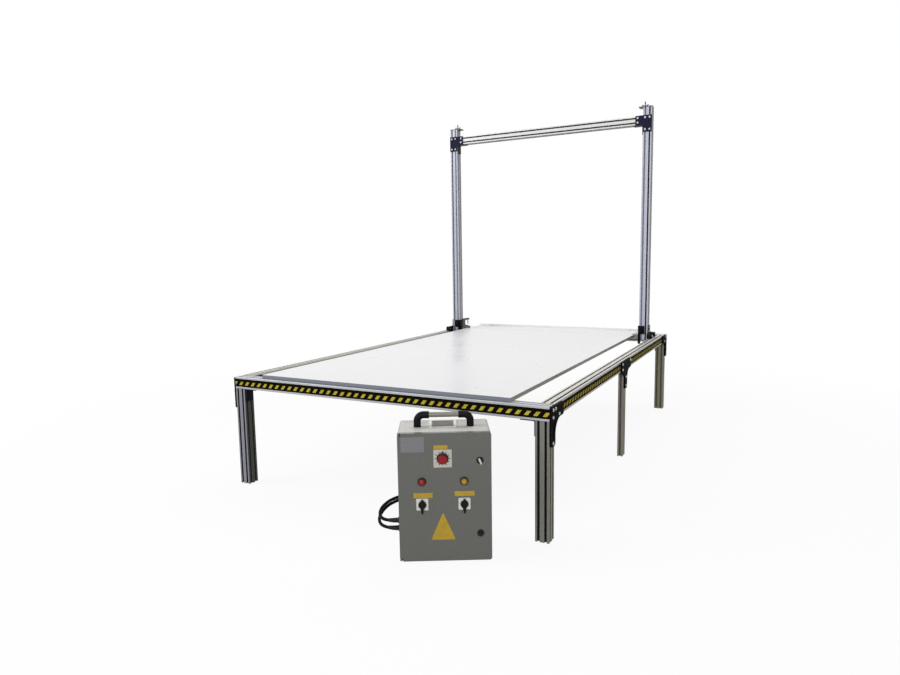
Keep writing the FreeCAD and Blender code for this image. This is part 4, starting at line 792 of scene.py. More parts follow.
@dataclass(frozen=True)
class SignalLens(Finish):
    """Tinted lenses of the two signal lamps, with painted shade at the rim and a painted highlight
    in the middle.

    Attributes:
        amber: Colour of the right lamp's lens.
        bezel: Colour of the ring round each lens.
        middle: Cabinet X of the middle between the lamps.
        spread: Cabinet X from there to each lamp.
        level: Height of the lamps.
        lens: Radius of a lens.
        gap: Width between a lens and its bezel.
    """

    amber: Colour = (0.46, 0.27, 0.03)
    bezel: Colour = (0.030, 0.024, 0.020)
    middle: float = -0.007
    spread: float = 0.079
    level: float = 0.315
    lens: float = 0.0143
    gap: float = 0.0002

    def dress(self, wiring: Wiring) -> Sockets:
        """Wire the two tints, the painted shade at the rims, the painted highlights in the middles
        and the bezels.

        Args:
            wiring: The material's tree.

        Returns:
            What goes into the shader's inputs, by name.
        """
        right, _, height = wiring.apart(EFFECTS.use(wiring, Effect.CABINET_SPACE))
        right = wiring.math("SUBTRACT", right, self.middle)
        across = wiring.math("SUBTRACT", wiring.math("ABSOLUTE", right), self.spread)
        up = wiring.math("SUBTRACT", height, self.level)
        reach = wiring.math("SQRT", wiring.math("ADD", wiring.math("MULTIPLY", across, across),
                                                wiring.math("MULTIPLY", up, up)))
        tint = wiring.mix(wiring.math("GREATER_THAN", right, 0.0), self.colour, self.amber)
        # Painted shade dark at each lens's rim and a painted highlight bright in its middle.
        shade = wiring.remap(reach, (self.lens * 0.92, self.lens * 0.3), (0.16, 1.35))
        ring = wiring.math("GREATER_THAN", reach, self.lens + self.gap)
        fine = self.fine(wiring)
        return {"Base Color": wiring.mix(ring, wiring.scaled(tint, shade), self.bezel),
                "Roughness": self.rough(wiring, fine, -0.03, 0.03),
                "Normal": self.relief(wiring, fine)}


# Painted light and shade: the profiles below are one anodised aluminium. Each part's colour is a
# lighter or darker copy for how light falls on it: the legs darker in the shade under the table,
# the rear beam and its slots painted near white, the crossbar lighter, the uprights bluer. Their
# side and underside colours are painted shade, and their lighter inner slot colours painted light.
PROFILE_ACROSS = DrawnAluminium(
    "anodised_profile_across", (0.54, 0.55, 0.58), 0.36, 0.3, bump=0.12, gloss=0.25, along=0)
PROFILE_ALONG = DrawnAluminium(
    "anodised_profile_along", (0.60, 0.585, 0.535), 0.40, 0.3, bump=0.12, gloss=0.2, along=1,
    slot=(0.05, 0.05, 0.045), flank=(0.48, 0.465, 0.42))
RIGHT_RAIL = replace(PROFILE_ALONG, name="right_rail_profile", swept=(0.30, 0.29, 0.26))
PROFILE_REAR = DrawnAluminium(
    "anodised_profile_rear", (0.82, 0.82, 0.83), 0.36, 0.2, bump=0.12, gloss=0.25, along=0,
    slot=(0.62, 0.62, 0.62))
PROFILE_CROSSBAR = DrawnAluminium(
    "anodised_profile_crossbar", (0.80, 0.785, 0.78), 0.36, 0.2, bump=0.12, gloss=0.25, along=0,
    slot=(0.060, 0.056, 0.058), below=(0.22, 0.21, 0.20))
LEFT_UPRIGHT = DrawnAluminium(
    "anodised_profile_upright", (0.51, 0.525, 0.62), 0.38, 0.3, bump=0.12, gloss=0.2, along=2,
    slot=(0.17, 0.18, 0.22), flank=(0.46, 0.43, 0.42), swept=(0.36, 0.375, 0.46))
RIGHT_UPRIGHT = replace(
    LEFT_UPRIGHT, name="right_upright_profile", slot=(0.012, 0.012, 0.016),
    flank=(0.29, 0.28, 0.255))
FRONT_RIGHT_LEG = DrawnAluminium(
    "front_right_profile", (0.245, 0.237, 0.222), 0.42, 0.3, bump=0.12, gloss=0.15, along=2,
    flank=(0.24, 0.22, 0.165))
FRONT_LEFT_LEG = replace(
    FRONT_RIGHT_LEG, name="front_left_profile", colour=(0.295, 0.30, 0.34),
    flank=(0.075, 0.075, 0.062))
MIDDLE_LEG = replace(
    FRONT_RIGHT_LEG, name="middle_profile", colour=(0.29, 0.27, 0.235),
    flank=(0.24, 0.215, 0.14), slot=(0.15, 0.14, 0.135))
REAR_LEG = replace(
    FRONT_RIGHT_LEG, name="rear_profile", colour=(0.27, 0.25, 0.185),
    flank=(0.26, 0.235, 0.15), slot=(0.16, 0.145, 0.10))
STOP_STRIP = DrawnAluminium(
    "stop_strip", (0.80, 0.80, 0.81), 0.38, 0.05, bump=0.1, gloss=0.3, along=0)
BOARD = LaminateBoard("white_laminate", (0.79, 0.785, 0.79), 0.32, grain=900.0, bump=0.04)
CASTING = CoatedMetal(
    "black_casting", (0.006, 0.006, 0.005), 0.5, grain=300.0, bump=0.5, peel=260.0, wear=0.3,
    dust=0.012, gloss=0.004)
ANGLE = CoatedMetal(
    "black_angle", (0.008, 0.010, 0.015), 0.42, bump=0.1, wear=0.4, dust=0.02, gloss=0.04)
JOINT_PLATE = replace(ANGLE, name="dark_blue_plate", colour=(0.018, 0.021, 0.046))
CORNER_ANGLE = replace(ANGLE, name="brown_black_angle", colour=(0.070, 0.048, 0.055))
CARRIAGE = CoatedMetal(
    "black_carriage", (0.006, 0.006, 0.008), 0.42, bump=0.1, wear=0.45, dust=0.02, gloss=0.04)
CARRIER = replace(CARRIAGE, name="black_carrier", roughness=0.40)
TAPE = HazardTape(
    "hazard_tape_film", (0.008, 0.006, 0.004), 0.6, grain=300.0, bump=0.05, gloss=0.006)
BOLT = TurnedMetal("zinc_bolt", (0.46, 0.46, 0.45), 0.32, 1.0, grain=400.0, bump=0.05)
AXLE = TurnedMetal("ground_axle", (0.42, 0.42, 0.43), 0.26, 1.0, grain=500.0, bump=0.04)
CAP = TurnedMetal("cap_plate_steel", (0.060, 0.052, 0.047), 0.40, 0.6, grain=260.0, bump=0.08)
ROLLER = Finish("black_polyamide", (0.010, 0.010, 0.011), 0.5, grain=400.0, bump=0.12, gloss=0.06)
KEY = Finish("white_acetal", (0.72, 0.71, 0.67), 0.4, grain=500.0, bump=0.05)
KNOB = Finish("knob_plastic", (0.005, 0.005, 0.006), 0.42, grain=700.0, bump=0.15, gloss=0.06)
POST = TurnedMetal("post_steel", (0.10, 0.098, 0.085), 0.40, 0.7, grain=240.0, bump=0.1)
SPRING = TurnedMetal("spring_steel", (0.24, 0.23, 0.22), 0.26, 1.0, grain=600.0, bump=0.04)
PULLEY = TurnedMetal("pulley_alloy", (0.16, 0.16, 0.17), 0.36, 0.8, grain=400.0, bump=0.06)
WIRE = TurnedMetal("resistance_wire", (0.46, 0.43, 0.40), 0.35, 1.0, grain=900.0, bump=0.05)
# Painted light: the door and the housing are one powder coat; the housing is a lighter copy, and
# its full, even dust is painted light on its roof.
DOOR_COAT = CoatedMetal(
    "door_coat", (0.122, 0.125, 0.112), 0.30, grain=300.0, bump=0.14, peel=420.0, wear=0.10,
    wear_width=0.001, dust=0.10, variation=0.015, coat=0.35)
HOUSING_COAT = CoatedMetal(
    "housing_coat", (0.300, 0.302, 0.288), 0.34, grain=300.0, bump=0.14, peel=420.0, wear=0.10,
    wear_width=0.001, dust=1.0, even=0.72, variation=0.015, coat=0.25)
FOOT = Finish("foot_rubber", (0.02, 0.02, 0.02), 0.6, grain=300.0, bump=0.15, gloss=0.2)
GLAND = Finish("gland_polyamide", (0.012, 0.012, 0.013), 0.42, grain=400.0, bump=0.08, gloss=0.16)
RUBBER = Finish("cord_rubber", (0.005, 0.005, 0.006), 0.55, grain=260.0, bump=0.12, gloss=0.06)
PLUG = Finish("plug_rubber", (0.007, 0.007, 0.008), 0.5, grain=500.0, bump=0.15, gloss=0.16)
SILVER_PLATE = DrawnAluminium(
    "bare_silver_plate", (0.20, 0.205, 0.22), 0.24, 0.55, bump=0.1, along=0)
YELLOW_LABEL = Finish("bare_yellow_label", (0.54, 0.355, 0.02), 0.4, grain=300.0, bump=0.03)
INK = Finish("black_print", (0.006, 0.006, 0.006), 0.5, grain=800.0, bump=0.02, gloss=0.2)
GASKET = Finish("door_gasket", (0.02, 0.02, 0.02), 0.7, grain=300.0, bump=0.2, gloss=0.2)

HANDLE = MixedPiece(
    "handle_plastic_and_tube", (0.006, 0.006, 0.008), 0.4, grain=400.0, bump=0.12, gloss=0.08,
    regions=(
        Region((-0.0565, 0.05, 0.51), (0.0565, 0.15, 0.57), (0.25, 0.24, 0.21), 0.42, 0.2),))
FITTINGS = MixedPiece(
    "panel_fittings_mix", (0.42, 0.41, 0.37), 0.5, grain=500.0, bump=0.06, gloss=0.3, regions=(
        Region((-0.2, -0.02, 0.0), (0.11, 0.0002, 0.5), (0.86, 0.85, 0.82), 0.36),
        Region((-0.05, -0.02, 0.36), (0.03, 0.0002, 0.45), (0.62, 0.60, 0.55), 0.34, 0.1),
        Region((0.11, -0.02, 0.0), (0.2, 0.03, 0.5), (0.008, 0.008, 0.008), 0.35)))
LAMPS = SignalLens(
    "signal_lamp_lens", (0.36, 0.012, 0.016), 0.34, grain=500.0, bump=0.03, gloss=0.25)
DIAL = MixedPiece(
    "dial_knob_mix", (0.006, 0.006, 0.007), 0.36, grain=600.0, bump=0.08, gloss=0.25, regions=(
        # Painted shade: the knob's fluted sides are its red in a darker copy, the front face the
        # plain red.
        Region((-0.05, -0.03, 0.37), (0.05, -0.0062, 0.44), (0.11, 0.006, 0.009), 0.36),
        Region((-0.05, -0.03, 0.37), (0.05, -0.0191, 0.44), (0.34, 0.010, 0.018), 0.36)))
SWITCH_KNOB = Finish(
    "switch_knob_plastic", (0.006, 0.006, 0.007), 0.36, grain=700.0, bump=0.1, gloss=0.14)
UPPER_LOCK = MixedPiece(
    "wing_lock_mix", (0.010, 0.010, 0.011), 0.3, grain=400.0, bump=0.05, gloss=0.2, regions=(
        Region((0.1, -0.03, 0.36), (0.2, -0.0078, 0.43), (0.55, 0.55, 0.54), 0.24, 1.0),))
LOWER_LOCK = MixedPiece(
    "round_lock_mix", (0.30, 0.30, 0.31), 0.3, 1.0, grain=400.0, bump=0.05, gloss=0.2, regions=(
        Region((0.1, -0.03, 0.08), (0.2, 0.0004, 0.14), (0.007, 0.007, 0.008), 0.38),))
VENT = MixedPiece(
    "vent_frame_mix", (0.78, 0.78, 0.76), 0.4, grain=400.0, bump=0.06, regions=(
        Region((-0.047, 0.08, 0.49), (0.039, 0.172, 0.51), (0.20, 0.195, 0.17), 0.5),))
INSULATOR = MixedPiece(
    "insulator_mix", (0.50, 0.50, 0.49), 0.3, grain=500.0, bump=0.04, on_cabinet=False,
    regions=(Region((0.6, 1.1, 0.5), (0.6721, 1.3, 0.65), (0.03, 0.03, 0.03), 0.35, 0.4),))
CORE = MixedPiece(
    "transformer_mix", (0.16, 0.16, 0.17), 0.45, 0.5, grain=400.0, bump=0.2, regions=(
        Region((-0.033, 0.09, 0.021), (0.033, 0.17, 0.073), (0.42, 0.16, 0.05), 0.4, 0.4),))
CONNECTOR = MixedPiece(
    "connector_mix", (0.008, 0.008, 0.009), 0.45, grain=400.0, bump=0.1, gloss=0.16, regions=(
        Region((0.072, 0.5, 0.0), (0.09, 0.57, 0.03), (0.5, 0.5, 0.5), 0.28, 1.0),))

NODE_FINISHES: dict[str, Finish] = {
    "front_beam": PROFILE_ACROSS, "rear_beam": PROFILE_REAR, "crossbar": PROFILE_CROSSBAR,
    "left_rail": PROFILE_ALONG, "right_rail": RIGHT_RAIL, "board_bearers": PROFILE_ALONG,
    "front_left_leg": FRONT_LEFT_LEG, "front_right_leg": FRONT_RIGHT_LEG,
    "rear_left_leg": REAR_LEG, "rear_right_leg": REAR_LEG,
    "middle_leg": MIDDLE_LEG, "left_upright": LEFT_UPRIGHT,
    "right_upright": RIGHT_UPRIGHT, "work_board": BOARD, "rear_stop": STOP_STRIP,
    "side_brackets": CASTING, "frame_bolts": BOLT, "inner_brackets": ANGLE,
    "hazard_tape": TAPE, "joint_plates": JOINT_PLATE,
    "crossbar_brackets": CORNER_ANGLE,
    "upright_caps": CAP, "carriage_plates": CARRIAGE, "roller_axles": AXLE,
    "front_left_roller": ROLLER, "rear_left_roller": ROLLER, "front_right_roller": ROLLER,
    "rear_right_roller": ROLLER, "guide_keys": KEY, "gantry_bolts": BOLT,
    "left_carrier": CARRIER, "right_carrier": CARRIER, "left_star_knob": KNOB,
    "right_star_knob": KNOB, "wire_post": POST, "tension_spring": SPRING,
    "guide_pulley": PULLEY, "wire_insulator": INSULATOR, "hot_wire": WIRE,
    "cabinet_shell": HOUSING_COAT, "cabinet_door": DOOR_COAT, "door_hinges": DOOR_COAT,
    "cabinet_handle": HANDLE, "top_vent": VENT, "cabinet_feet": FOOT,
    "panel_fittings": FITTINGS, "signal_lamps": LAMPS, "dial_knob": DIAL,
    "left_switch_knob": SWITCH_KNOB, "right_switch_knob": SWITCH_KNOB,
    "upper_lock": UPPER_LOCK, "lower_lock": LOWER_LOCK, "transformer": CORE,
    "cable_glands": GLAND, "mains_cord": RUBBER, "mains_coil": RUBBER, "mains_plug": PLUG,
    "wire_cord": RUBBER, "wire_coil": RUBBER, "wire_connector": CONNECTOR,
}

def dress_nodes() -> None:
    """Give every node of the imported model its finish."""
    for name, finish in NODE_FINISHES.items():
        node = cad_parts[name]
        if isinstance(finish, DrawnAluminium) and name not in ("board_bearers", "rear_stop"):
            finish = finish.on_node(name)
        node.data.materials.clear()
        node.data.materials.append(finish.material())
        log.info("%s is finished as %s", name, finish.name)


# ---------------------------------------------------------------- pieces

class Workbench:
    """Makes pieces from meshes and curves, and fits each one to its body."""

    @staticmethod
    def link(piece: bpy.types.Object, finish: Finish, body: str, slot: str) -> bpy.types.Object:
        """Put a piece in the scene, dressed and riding on its body.

        Args:
            piece: The new object, in place in the row frame.
            finish: Its finish.
            body: Body that it moves with.
            slot: Not used.

        Returns:
            The piece.
        """
        bpy.context.scene.collection.objects.link(piece)
        piece.data.materials.clear()
        piece.data.materials.append(finish.material())
        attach(piece, body)
        log.info("%s rides on %s", piece.name, body)
        return piece

    def fit(self, name: str, shape: Shape, place: Matrix, finish: Finish, body: str = "door",
            slot: str = "fittings", smooth: bool = True) -> None:
        """Turn a shape into a piece.

        Args:
            name: Name of the piece.
            shape: Its shape in local coordinates, freed afterwards.
            place: Its placement in the row frame.
            finish: Its finish.
            body: Body that it moves with.
            slot: Not used; only passed on to link.
            smooth: Whether shallow edges are shaded smooth.
        """
        bmesh.ops.recalc_face_normals(shape, faces=shape.faces)
        shape.transform(place)
        data = bpy.data.meshes.new(name)
        shape.to_mesh(data)
        shape.free()
        if smooth:
            data.shade_smooth()
            data.set_sharp_from_angle(angle=SHARP_EDGE)
        self.link(bpy.data.objects.new(name, data), finish, body, slot)

    @staticmethod
    def thread(name: str, points: Sequence[Vector], steps: int, radius: float = 0.0,
               bevel: int = 0, capped: bool = False) -> bpy.types.Object:
        """Lay one smooth curve along control points.

        Args:
            name: Name of the object.
            points: The control points in the row frame.
            steps: Steps from point to point.
            radius: Radius of its round section, or 0 for a bare line.
            bevel: Fineness of the section.
            capped: Whether its ends are closed.

        Returns:
            The curve object, not yet in the scene.
        """
        data = bpy.data.curves.new(name, "CURVE")
        data.dimensions = "3D"
        data.resolution_u = steps
        data.bevel_depth = radius
        data.bevel_resolution = bevel
        data.use_fill_caps = capped
        spline = data.splines.new("NURBS")
        spline.points.add(len(points) - 1)
        for knot, point in zip(spline.points, points):
            knot.co = (*point, 1.0)
        spline.order_u = 3
        spline.use_endpoint_u = True
        return bpy.data.objects.new(name, data)

    @staticmethod
    def skin(shape: Shape, rings: Sequence[Sequence[Point]], capped: bool = True) -> None:
        """Add a closed skin over rings of points to a shape.

        Args:
            shape: The shape.
            rings: The rings, with as many points in each.
            capped: Whether the end rings are closed. Otherwise the last ring joins the first.
        """
        loops = [[shape.verts.new(point) for point in ring] for ring in rings]
        for lower, upper in zip(loops, loops[1:] if capped else loops[1:] + loops[:1]):
            for number, corner in enumerate(lower):
                other = (number + 1) % len(lower)
                shape.faces.new((corner, lower[other], upper[other], upper[number]))
        if capped:
            shape.faces.new(list(reversed(loops[0])))
            shape.faces.new(loops[-1])

    @staticmethod
    def outline(corners: Iterable[Flat], rounding: float, steps: int = 6) -> list[Flat]:
        """Round the corners of a flat outline.

        Args:
            corners: Its corners in order, counterclockwise.
            rounding: Radius of each corner.
            steps: Points on each corner's arc.

        Returns:
            The rounded outline.
        """
        points = [Vector(corner) for corner in corners]
        made = []
        for before, point, after in zip(points[-1:] + points[:-1], points, points[1:] + points[:1]):
            inward = (before - point).normalized()
            outward = (after - point).normalized()
            reach = rounding / math.tan(inward.angle(outward) / 2)
            start = point + inward * reach
            finish = point + outward * reach
            for step in range(steps + 1):
                share = step / steps
                first = start.lerp(point, share)
                made.append(tuple(first.lerp(point.lerp(finish, share), share)))
        return made

    @staticmethod
    def block(wide: float, tall: float) -> list[Flat]:
        """Return the corners of a rectangle from its half width and half height."""
        return [(-wide, -tall), (wide, -tall), (wide, tall), (-wide, tall)]

    def slab(self, outline: Sequence[Flat], thickness: float, chamfer: float) -> Shape:
        """Raise an outline to a slab with a chamfered front edge.

        Args:
            outline: The outline in local X and Y.
            thickness: Its thickness along local Z.
            chamfer: Size of the chamfer round its front.

        Returns:
            The shape.
        """
        corners = [Vector(corner) for corner in outline]
        centre = Vector((sum(x for x, _ in outline), sum(y for _, y in outline))) / len(outline)
        rings = []
        for inset, level in ((0.0, 0.0), (0.0, thickness - chamfer), (chamfer, thickness)):
            moved = [corner + (centre - corner).normalized() * inset for corner in corners]
            rings.append([(corner.x, corner.y, level) for corner in moved])
        shape = bmesh.new()
        self.skin(shape, rings)
        return shape

    def tube(self, points: Sequence[Vector], radii: Sequence[float], sides: int = 20) -> Shape:
        """Skin a round tube along points.

        Args:
            points: Its centre line.
            radii: Its radius at each point.
            sides: Faces round the tube.

        Returns:
            The shape.
        """
        rings = []
        side = Vector((0.0, 0.0, 1.0))
        for number, (point, radius) in enumerate(zip(points, radii)):
            ahead = points[min(number + 1, len(points) - 1)] - points[max(number - 1, 0)]
            ahead.normalize()
            side = (side - ahead * side.dot(ahead)).normalized()
            other = ahead.cross(side)
            angles = [2 * math.pi * step / sides for step in range(sides)]
            rings.append([point + (side * math.cos(angle) + other * math.sin(angle)) * radius
                          for angle in angles])
        shape = bmesh.new()
        self.skin(shape, rings)
        return shape


BENCH = Workbench()


# ---------------------------------------------------------------- cords

@dataclass(frozen=True)
class Coil:
    """The part of a cord that is put away, in two layers of turns on the floor.

    Attributes:
        centre: Cabinet X and Y of its middle.
        start: Angle at which the cord comes in, in degrees.
        finish: Angle at which it goes out, in degrees.
        way: 1 for counterclockwise seen from above, -1 for clockwise.
        outer: Radius of the outermost turn's middle.
        inner: Radius of the innermost turn's middle.
        turns: Whole turns in all.
        each: Points for each turn.
        within: How far inside its control points a turn lies, as a share of their radius.
        drop: Points over which the cord comes down from the upper layer to the lower.
    """

    centre: Flat
    start: float
    finish: float
    way: int
    outer: float = 0.0775
    inner: float = 0.0525
    turns: int = 4
    each: int = 14
    within: float = 0.975
    drop: float = 6.0

    def points(self, diameter: float) -> list[Point]:
        """Return the control points of its turns in cabinet coordinates.

        Args:
            diameter: Diameter of the cord.

        Returns:
            The points, in the order in which the cord runs.
        """
        sweep = (self.finish - self.start) * self.way % 360.0 + 360.0 * self.turns
        count = round(self.each * sweep / 360.0)
        half = count / 2
        made = []
        for number in range(1, count):
            angle = math.radians(self.start + self.way * sweep * number / count)
            share = abs(number - half) / half
            radius = (self.inner + (self.outer - self.inner) * share) / self.within
            fall = min(max((number - half + self.drop / 2) / self.drop, 0.0), 1.0)
            fall = fall * fall * (3 - 2 * fall)
            made.append((self.centre[0] + radius * math.cos(angle),
                         self.centre[1] + radius * math.sin(angle), diameter * (1.5 - fall)))
        return made


@dataclass(frozen=True)
class FreeCord:
    """A cord from its gland, along the floor, through its coil to what is on its end.

    Attributes:
        name: Name of the cord.
        lead: Route from the gland to the coil, in cabinet coordinates.
        coil: Its coil.
        tail: Route from the coil to its end.
        length: Its real length; not used.
        end: Node on its end; not used.
        far_end: Kind of that end; not used.
        stands_for: Nodes that it replaces.
        diameter: Diameter of the cord.
        steps: Steps from one control point to the next.
        sleeve: Length of its strain relief.
        wall: Thickness of the relief at its thin end, and depth of its ribs.
        taper: How much thicker it is at the gland.
    """

    name: str
    lead: list[Point]
    coil: Coil
    tail: list[Point]
    length: float
    end: str
    far_end: str
    stands_for: tuple[str, ...]
    diameter: float = 0.0125
    steps: int = 8
    sleeve: float = 0.036
    wall: float = 0.0006
    taper: float = 0.0032

    def route(self) -> list[Vector]:
        """Return the cord's control points in the row frame."""
        places = [*self.lead, *self.coil.points(self.diameter), *self.tail]
        return [CABINET.point(place) for place in places]

    def line(self) -> list[Vector]:
        """Read the cord's centre line from its curve.

        Returns:
            Points along it.
        """
        bare = BENCH.thread(self.name + "_line", self.route(), self.steps)
        mesh = bpy.data.meshes.new_from_object(bare)
        points = [vertex.co.copy() for vertex in mesh.vertices]
        bpy.data.meshes.remove(mesh)
        curve = bare.data
        bpy.data.objects.remove(bare)
        bpy.data.curves.remove(curve)
        return points

    def relief(self) -> None:
        """Fit the tapered, ribbed sleeve that keeps the cord from kinking at its gland."""
        line = self.line()
        reached = 0.0
        points = [line[0]]
        for before, after in zip(line, line[1:]):
            reached += (after - before).length
            if reached > self.sleeve:
                break
            points.append(after)
        radii = []
        for number in range(len(points)):
            share = 1 - number / (len(points) - 1)
            rib = self.wall if number % 2 else 0.0
            radii.append(self.diameter / 2 + self.taper * share + self.wall - rib * share)
        BENCH.fit(self.name + "_strain_relief", BENCH.tube(points, radii), Matrix.Identity(4),
                  GLAND, "table", "gland")

    def make(self) -> None:
        piece = BENCH.thread(self.name + "_lead", self.route(), self.steps, self.diameter / 2,
                             bevel=5, capped=True)
        BENCH.link(piece, RUBBER, "table", "cord")
        self.relief()
        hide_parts(*self.stands_for)


def millimetres(*places: Point) -> list[Point]:
    """Return places given in millimetres in metres."""
    return [(x / 1000, y / 1000, z / 1000) for x, y, z in places]


MAINS = FreeCord(
    "mains",
    lead=millimetres(
        (-187, 60, 143), (-217, 60, 142), (-250, 82, 143), (-260, 126, 149), (-250, 170, 158),
        (-222, 208, 168), (-176, 232, 176), (-122, 242, 172), (-72, 250, 141), (-32, 257, 95),
        (4, 265, 53), (42, 272, 26), (83, 275.8, 18.75)),
    coil=Coil((0.060, 0.350), start=-72.8, finish=0.0, way=1),
    tail=millimetres((137.5, 352, 6.25), (137, 396, 6.4), (138, 438, 11), (138, 478, 18.2)),
    length=2.42, end="mains_plug", far_end="plug", stands_for=("mains_cord", "mains_coil"))
SUPPLY = FreeCord(
    "wire_supply",
    lead=millimetres(
        (-187, 60, 112), (-217, 61, 112), (-252, 84, 115), (-264, 130, 122), (-254, 176, 134),
        (-228, 216, 146), (-190, 248, 152), (-167, 292, 141), (-158, 340, 107), (-157, 390, 63),
        (-161, 438, 30), (-159.5, 482, 18.75)),
    coil=Coil((-0.085, 0.460), start=163.6, finish=88.5, way=-1),
    tail=millimetres((-83, 537.5, 6.25), (-40, 538, 6.4), (0, 538, 9), (38, 538, 12.2)),
    length=2.38, end="wire_connector", far_end="connector", stands_for=("wire_cord", "wire_coil"))

# ---------------------------------------------------------------- studio

@dataclass(frozen=True)
class Lamp:
    """A soft square lamp.

    Attributes:
        name: Its name.
        place: Where it hangs.
        aim: What it shines at.
        size: Side of its face.
        power: Its power in watts.
        colour: Its colour.
    """

    name: str
    place: Point
    aim: Point
    size: float
    power: float
    colour: Colour

    def hang(self) -> None:
        """Hang the lamp."""
        data = bpy.data.lights.new(self.name, "AREA")
        data.shape = "SQUARE"
        data.size = self.size
        data.energy = self.power
        data.color = self.colour
        lamp = bpy.data.objects.new(self.name, data)
        lamp.location = self.place
        towards = Vector(self.aim) - Vector(self.place)
        lamp.rotation_euler = towards.to_track_quat("-Z", "Y").to_euler()
        bpy.context.scene.collection.objects.link(lamp)


@dataclass(frozen=True)
class Studio:
    """Camera, floor, lamps and world.

    Attributes:
        eye: Place of the camera.
        yaw: Its turn to the right of the row's Y, in radians.
        pitch: Its tilt upwards.
        roll: Its roll.
        lens: Focal length, in millimetres.
        sensor: Width of its sensor, in millimetres.
        clip: Nearest and furthest distance that the camera shows.
        white: Colour of the surroundings.
        fill: Strength of the light that comes from all round.
        fill_colour: Its colour.
        floor_radius: Radius of the floor.
        floor_level: Height of the floor, just under what stands on it.
        floor_grey: Colour of the floor for the light that it gives back.
        shadow_grey: Colour of the floor where its shadows are seen.
        fade: Distances from the middle over which the floor turns to plain white.
        glow: How far it is plain white before and after that.
        lamps: One above at the left, one over the back and one low in front.
    """

    eye: Point = (1.6498, -3.4565, 1.1377)
    yaw: float = -0.4876
    pitch: float = -0.1212
    roll: float = -0.0162
    lens: float = 25.687
    sensor: float = 36.0
    clip: Flat = (0.05, 60.0)
    white: Colour = (1.0, 1.0, 1.0)
    fill: float = 0.22
    fill_colour: Colour = (0.97, 0.98, 1.0)
    floor_radius: float = 14.0
    floor_level: float = -0.0005
    floor_grey: Colour = (0.34, 0.34, 0.33)
    shadow_grey: Colour = (0.85, 0.85, 0.85)
    fade: Flat = (2.2, 4.0)
    glow: Flat = (0.92, 1.0)
    lamps: tuple[Lamp, ...] = (
        Lamp("key_lamp", (-5.6, -4.4, 5.4), (0.1, -0.2, 0.5), 3.8, 375.0, (0.97, 0.98, 1.0)),
        Lamp("top_lamp", (0.3, 1.6, 5.6), (0.0, 0.4, 0.5), 4.0, 160.0, (1.0, 1.0, 1.0)),
        Lamp("front_lamp", (2.6, -6.2, 2.4), (0.3, -0.4, 0.7), 3.6, 150.0, (1.0, 0.99, 0.96)))

    def camera(self) -> None:
        """Set up the camera."""
        ahead = Vector((math.sin(self.yaw) * math.cos(self.pitch),
                        math.cos(self.yaw) * math.cos(self.pitch), math.sin(self.pitch)))
        right = Vector((math.cos(self.yaw), -math.sin(self.yaw), 0.0))
        up = right.cross(ahead)
        side = math.cos(self.roll) * right + math.sin(self.roll) * up
        top = -math.sin(self.roll) * right + math.cos(self.roll) * up
        data = bpy.data.cameras.new("camera")
        data.sensor_width = self.sensor
        data.lens = self.lens
        data.clip_start, data.clip_end = self.clip
        eye = bpy.data.objects.new("camera", data)
        turn = Matrix((side, top, -ahead)).transposed().to_4x4()
        eye.matrix_world = Matrix.Translation(self.eye) @ turn
        bpy.context.scene.collection.objects.link(eye)
        bpy.context.scene.camera = eye

    @staticmethod
    def seen(wiring: Wiring) -> tuple[Socket, Socket]:
        """Tell what the camera sees from what only lights the scene.

        Args:
            wiring: The tree.

        Returns:
            A mask of what it sees straight, and one that has mirrors and glass as well.
        """
        path = wiring.add("ShaderNodeLightPath").outputs
        seen = wiring.math("MAXIMUM", path["Is Camera Ray"], path["Is Glossy Ray"])
        return path["Is Camera Ray"], wiring.math("MAXIMUM", seen, path["Is Transmission Ray"])

    def world(self) -> None:
        """Light evenly from all round, with white behind everything."""
        world = bpy.data.worlds.new("studio_world")
        world.use_nodes = True
        wiring = Wiring(world.node_tree)
        white = wiring.add("ShaderNodeBackground", {"Color": self.white, "Strength": 1.0})
        dim = wiring.add("ShaderNodeBackground", {
            "Color": self.fill_colour, "Strength": self.fill})
        both = wiring.add("ShaderNodeMixShader", {
            0: self.seen(wiring)[1], 1: dim.outputs[0], 2: white.outputs[0]})
        wiring.add("ShaderNodeOutputWorld", {"Surface": both.outputs[0]})
        bpy.context.scene.world = world

    def paint(self) -> bpy.types.Material:
        """Mix a pale floor paint that keeps a soft shadow.

        Returns:
            The material.
        """
        made = bpy.data.materials.new("pale_floor")
        made.use_nodes = True
        wiring = Wiring(made.node_tree)
        straight, seen = self.seen(wiring)
        white = wiring.add("ShaderNodeEmission", {"Color": self.white, "Strength": 1.0})
        grey = wiring.mix(straight, self.floor_grey, self.shadow_grey)
        matt = wiring.add("ShaderNodeBsdfDiffuse", {"Color": grey})
        glowing = wiring.remap(wiring.measure("LENGTH", wiring.place()), self.fade, self.glow)
        share = wiring.math("MULTIPLY", seen, glowing)
        both = wiring.add("ShaderNodeMixShader", {
            0: share, 1: matt.outputs[0], 2: white.outputs[0]})
        wiring.add("ShaderNodeOutputMaterial", {"Surface": both.outputs[0]})
        return made

    def floor(self) -> None:
        """Lay the floor."""
        shape = bmesh.new()
        bmesh.ops.create_circle(shape, cap_ends=True, radius=self.floor_radius, segments=96)
        data = bpy.data.meshes.new("floor")
        shape.to_mesh(data)
        shape.free()
        floor = bpy.data.objects.new("floor", data)
        floor.location.z = self.floor_level
        bpy.context.scene.collection.objects.link(floor)
        data.materials.append(self.paint())

    def make(self) -> None:
        """Set up the whole studio."""
        self.camera()
        self.world()
        self.floor()
        for lamp in self.lamps:
            lamp.hang()
        bpy.context.scene.view_settings.view_transform = "Standard"


# ---------------------------------------------------------------- wire carriers

